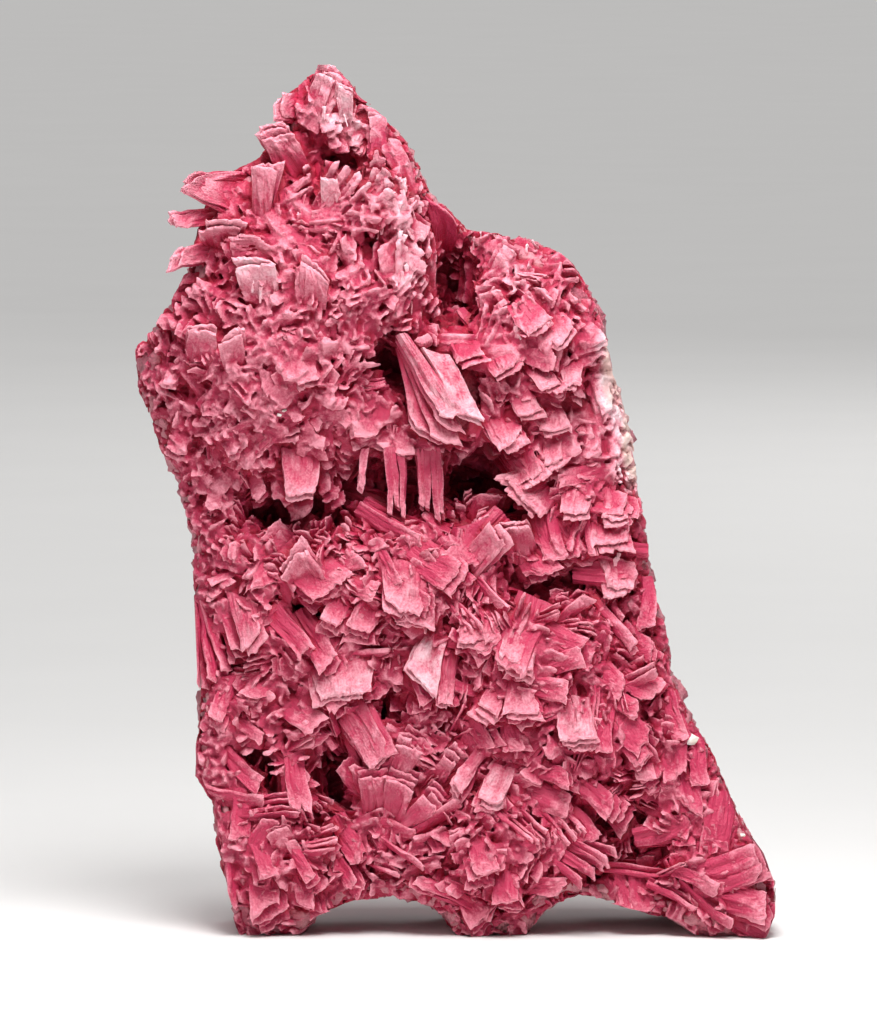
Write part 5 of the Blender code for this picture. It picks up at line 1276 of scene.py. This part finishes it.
class Nodes:
    """A material and the few kinds of node that the finishes are made of."""

    def __init__(self, name):
        self.material = bpy.data.materials.new(name)
        self.material.use_nodes = True
        self.tree = self.material.node_tree
        self.shader = self.tree.nodes["Principled BSDF"]
        self.place = self.tree.nodes.new("ShaderNodeTexCoord").outputs["Object"]

    def feed(self, socket, value):
        if isinstance(value, (int, float, tuple)):
            socket.default_value = value
        else:
            self.tree.links.new(value, socket)

    def math(self, operation, first, second, clamp=False):
        node = self.tree.nodes.new("ShaderNodeMath")
        node.operation = operation
        node.use_clamp = clamp
        self.feed(node.inputs[0], first)
        self.feed(node.inputs[1], second)
        return node.outputs[0]

    def ramp(self, value, low, high, to_low=0.0, to_high=1.0):
        node = self.tree.nodes.new("ShaderNodeMapRange")
        for label, number in (("From Min", low), ("From Max", high), ("To Min", to_low),
                              ("To Max", to_high)):
            node.inputs[label].default_value = number
        self.feed(node.inputs["Value"], value)
        return node.outputs["Result"]

    def mix(self, factor, first, second):
        node = self.tree.nodes.new("ShaderNodeMix")
        node.data_type = "RGBA"
        for label, value in (("Factor", factor), ("A", first), ("B", second)):
            self.feed(node.inputs[label], value)
        return node.outputs["Result"]

    def noise(self, scale, detail, place=None):
        node = self.tree.nodes.new("ShaderNodeTexNoise")
        node.inputs["Scale"].default_value = scale
        node.inputs["Detail"].default_value = detail
        self.feed(node.inputs["Vector"], self.place if place is None else place)
        return node.outputs["Fac"]

    def attribute(self, name):
        node = self.tree.nodes.new("ShaderNodeAttribute")
        node.attribute_name = name
        split = self.tree.nodes.new("ShaderNodeSeparateXYZ")
        self.feed(split.inputs[0], node.outputs["Vector"])
        return split.outputs

    def vector(self, x, y, z):
        node = self.tree.nodes.new("ShaderNodeCombineXYZ")
        for socket, value in zip(node.inputs, (x, y, z)):
            self.feed(socket, value)
        return node.outputs[0]

    def bump(self, height, strength, distance):
        node = self.tree.nodes.new("ShaderNodeBump")
        node.inputs["Strength"].default_value = strength
        node.inputs["Distance"].default_value = distance
        self.feed(node.inputs["Height"], height)
        return node.outputs["Normal"]

    def set(self, **sockets):
        for label, value in sockets.items():
            self.feed(self.shader.inputs[label.replace("_", " ")], value)


def blade_material():
    """Rhodonite blades: rose on the faces, crimson painted shade in the crevices, pale at the edges
    with wear and painted highlight.
    """
    n = Nodes("rhodonite_blades")
    across, from_tip, rim = n.attribute("grain")
    tone, painted_shading, dust_and_glint = n.attribute("kind")
    lined = n.vector(n.math("MULTIPLY", across, 4.0), n.math("MULTIPLY", from_tip, 1.0),
                     n.math("MULTIPLY", tone, 37.0))
    lines = n.noise(1.0, 3.0, lined)
    cloud = n.noise(260.0, 3.0)
    grit = n.noise(4600.0, 2.0)

    # Paler towards the tip, as painted light through the thin tips, and deeper towards the root, as
    # painted shade
    pale = n.ramp(from_tip, 3.6, 0.0, -0.3, 0.4)
    # Paler at edges and ledges as wear and painted highlight, by the crystals' own tone, lines,
    # cloud and grit, and with white dust and painted glints
    for paler in ((rim, 0.1, 0.9, 0.0, 0.46), (tone, -1.4, 1.0, -0.6, 0.34),
                  (lines, 0.3, 0.7, -0.09, 0.09), (cloud, 0.3, 0.7, -0.16, 0.16),
                  (grit, 0.3, 0.7, -0.2, 0.2), (dust_and_glint, 0.05, 0.8, 0.0, 0.65)):
        pale = n.math("ADD", pale, n.ramp(*paler))
    # Painted shade takes the paleness away in crevices, and proud places are painted paler as
    # highlight
    pale = n.math("SUBTRACT", pale, n.ramp(painted_shading, -0.25, 0.6, -0.35, 0.75), clamp=True)
    colour = n.mix(pale, ROSE_DEEP, ROSE_PALE)
    # Painted shade: crimson in crevices, darker crimson deep inside them
    colour = n.mix(n.ramp(painted_shading, 0.26, 0.7), colour, SHADE_CRIMSON)
    colour = n.mix(n.ramp(painted_shading, 0.7, 1.0, 0.0, 0.4), colour, DEEP_SHADE_CRIMSON)
    # White dust with painted glints, in specks, fading in painted shade; over 1 it is the
    # cream-coloured crust
    speck = n.math("ADD", n.ramp(n.noise(900.0, 3.0), 0.4, 0.62, -0.1, 0.7),
                   n.ramp(grit, 0.35, 0.6, 0.1, 0.4))
    white = n.math("MULTIPLY", n.ramp(dust_and_glint, 0.0, 0.8), n.ramp(painted_shading, 0.1, 0.45, 1.0, 0.1))
    white = n.math("MULTIPLY", white, speck, clamp=True)
    colour = n.mix(white, colour, DUST_GLINT_WHITE)
    cream = n.math("MULTIPLY", n.ramp(dust_and_glint, 0.9, 1.6), n.ramp(cloud, 0.3, 0.55, 0.35, 1.0))
    colour = n.mix(cream, colour, CREAM_CRUST)

    height = n.math("ADD", n.math("MULTIPLY", lines, 0.7), n.math("MULTIPLY", grit, 0.8))
    n.set(Base_Color=colour, Roughness=n.ramp(lines, 0.3, 0.7, 0.38, 0.6), IOR=RHODONITE_IOR,
          Specular_IOR_Level=0.22, Normal=n.bump(height, 0.8, 0.00018))
    return n.material


def rock_material():
    """Massive rhodonite: pale pink, cloudy, creamy where it is fine-grained, with crimson painted
    shade where it is shut in.
    """
    n = Nodes("massive_rhodonite")
    _, painted_shading, cream = n.attribute("kind")
    broad, fine, grit = n.noise(70.0, 4.0), n.noise(420.0, 4.0), n.noise(2600.0, 2.0)
    colour = n.mix(n.ramp(broad, 0.35, 0.65), ROCK_PINK, ROCK_PALE)
    colour = n.mix(n.ramp(fine, 0.5, 0.75, 0.0, 0.7), colour, ROCK_CREAM)
    colour = n.mix(n.ramp(fine, 0.5, 0.25, 0.0, 0.7), colour, ROCK_ROSE)
    colour = n.mix(n.ramp(grit, 0.35, 0.75, 0.0, 0.6), colour, ROCK_ROSE)
    creamy = n.math("MULTIPLY", cream, n.ramp(fine, 0.3, 0.6), clamp=True)
    creamy = n.math("MULTIPLY", creamy, n.ramp(broad, 0.4, 0.6, 0.1, 1.0))
    colour = n.mix(creamy, colour, CREAM_CRUST)
    # Painted shade: crimson where the rock is shut in, darker crimson deep inside
    colour = n.mix(n.ramp(painted_shading, 0.15, 0.5), colour, SHADE_CRIMSON)
    colour = n.mix(n.ramp(painted_shading, 0.6, 1.0, 0.0, 0.8), colour, DEEP_SHADE_CRIMSON)
    n.set(Base_Color=colour, Roughness=n.ramp(fine, 0.3, 0.7, 0.42, 0.62), IOR=RHODONITE_IOR,
          Specular_IOR_Level=0.3, Normal=n.bump(n.math("ADD", fine, grit), 0.7, 0.0005))
    return n.material


def quartz_material():
    """Milky quartz, slightly yellow in its cracks."""
    n = Nodes("quartz")
    cloud = n.noise(900.0, 3.0)
    colour = n.mix(n.ramp(cloud, 0.4, 0.8, 0.0, 0.7), QUARTZ_WHITE, QUARTZ_STAIN)
    n.set(Base_Color=colour, Roughness=0.22, IOR=QUARTZ_IOR, Subsurface_Weight=0.3,
          Subsurface_Radius=(1.0, 0.9, 0.8), Subsurface_Scale=0.0006,
          Normal=n.bump(cloud, 0.2, 0.0001))
    return n.material


def floor_material():
    """A matt, very slightly mottled pale ground."""
    n = Nodes("pale_floor")
    colour = n.mix(n.noise(30.0, 3.0), FLOOR_COLOUR, FLOOR_SHADE)
    n.set(Base_Color=colour, Roughness=0.75)
    return n.material


# --- Floor, light and camera -----------------------------------------------------------------

def add_stage():
    """A wide pale floor, open on every side."""
    mesh = bpy.data.meshes.new("floor")
    corners = [Vector((x, y, 0.0)) * FLOOR_REACH for x, y in ((-1, -1), (1, -1), (1, 1), (-1, 1))]
    mesh.from_pydata(corners, [], [(0, 1, 2, 3)])
    floor = linked("floor", mesh)
    floor.data.materials.append(floor_material())


def add_light(name, place, power, size=None, spread=None):
    """A soft light turned to the specimen: a disk size m across, or a sun spread degrees wide."""
    data = bpy.data.lights.new(name, "AREA" if size else "SUN")
    if size:
        data.shape = "DISK"
        data.size = size
    else:
        data.angle = math.radians(spread)
    data.energy = power
    light = linked(name, data)
    light.location = place
    aim = Vector(LIT_POINT) - Vector(place)
    light.rotation_euler = aim.to_track_quat("-Z", "Y").to_euler()


def add_lights():
    add_light("key", (0.02, -0.12, 0.22), 0.56, size=0.11)
    add_light("fill", (-0.40, -0.60, 0.35), 0.5, size=0.4)
    add_light("top", (-0.02, -0.05, 0.28), 1.7, spread=30.0)
    add_light("back", (0.30, 0.60, 0.35), 1.0, size=0.4)
    world = bpy.data.worlds.new("studio")
    world.use_nodes = True
    sky = world.node_tree.nodes["Background"].inputs
    sky["Color"].default_value = (1, 1, 1, 1)
    sky["Strength"].default_value = SKY_STRENGTH
    bpy.context.scene.world = world


def add_camera():
    """A long lens at the sight angle, framed so that 10 pixels span a millimetre."""
    data = bpy.data.cameras.new("camera")
    data.sensor_fit = "VERTICAL"
    data.sensor_height = SENSOR_HEIGHT
    data.lens = SENSOR_HEIGHT * CAMERA_DISTANCE / VIEW_HEIGHT
    data.clip_start = 0.01
    camera = linked("camera", data)
    aim = Vector(to_world(*VIEW_MIDDLE, VIEW_PLANE)) * MM
    camera.location = aim + Vector(TOWARDS) * CAMERA_DISTANCE
    camera.rotation_euler = (-Vector(TOWARDS)).to_track_quat("-Z", "Y").to_euler()
    bpy.context.scene.camera = camera


# --- The specimen ----------------------------------------------------------------------------

def great_leaves(rng):
    """The largest leaves, the laths that hang from the fan, and the glints."""
    leaves = Leaves(GREAT_SEED, GREAT_STEP)
    glints(leaves, rng)
    for places, count, tone, dust_and_glint in SHARDS.values():
        hero_shard(leaves, places, count, tone, dust_and_glint, rng)
    for root, tip, low in LATHS:
        places = ((root - LATH_HALF, LATH_TOP, 9.5), (root + LATH_HALF, LATH_TOP, 9.5),
                  (tip + 0.26, low, 9.3), (tip - 0.22, low + 0.3, 9.3))
        hero_shard(leaves, places, 2, 0.3, 0.05, rng)
    return leaves


def lower_books(rng):
    books = Leaves(BOOKS_SEED, BOOKS_STEP)
    for row in LOWER_BOOKS:
        hero_book(books, row, rng)
    return books


def thin_leaves(name, rng):
    seed, area, spread = THIN_LEAVES[name]
    leaves = Leaves(seed, THIN_STEP)
    fill_books(leaves, area, rng, **spread)
    return leaves


def crusts_of_plates(rng):
    """The plates of each crust, with the books of the upper half among them."""
    crusts = {name: crust_plates(area, size, rng) for name, (area, _, size) in CRUSTS.items()}
    for row in UPPER_BOOKS:
        name = "crust_upper_left" if row[0] < CRUST_SPLIT else "crust_upper_right"
        hero_book(crusts[name], row, rng, pitch=0.55, thick=0.3, sink=0.2)
    return crusts


def finish_piece(piece, material):
    piece.data.materials.clear()
    piece.data.materials.append(material)
    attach(piece, "root")
    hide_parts(NODE)


def build():
    """Grow all leaves first, because the painted shade, from how shut in a place is, depends on
    them all.
    """
    rng = random.Random(RANDOM_SEED)
    noise.seed_set(RANDOM_SEED)
    great = great_leaves(rng)
    pieces = {"books_lower": lower_books(rng)}
    pieces.update((name, thin_leaves(name, rng)) for name in THIN_LEAVES)
    pieces["great_leaves"] = great
    crusts = crusts_of_plates(rng)
    relief = Relief()
    for leaves in (*pieces.values(), *crusts.values()):
        leaves.cover(relief)
    blades = blade_material()
    finish_piece(massive_rock(relief), rock_material())
    for name, leaves in pieces.items():
        finish_piece(leaves.mesh(name, relief), blades)
    for name, plates in crusts.items():
        finish_piece(fused_crust(name, plates, relief), blades)
    finish_piece(loose_grains(QUARTZ_GRAINS, rng), quartz_material())


def main():
    bpy.context.scene.view_settings.view_transform = "Standard"
    build()
    add_stage()
    add_lights()
    add_camera()


main()
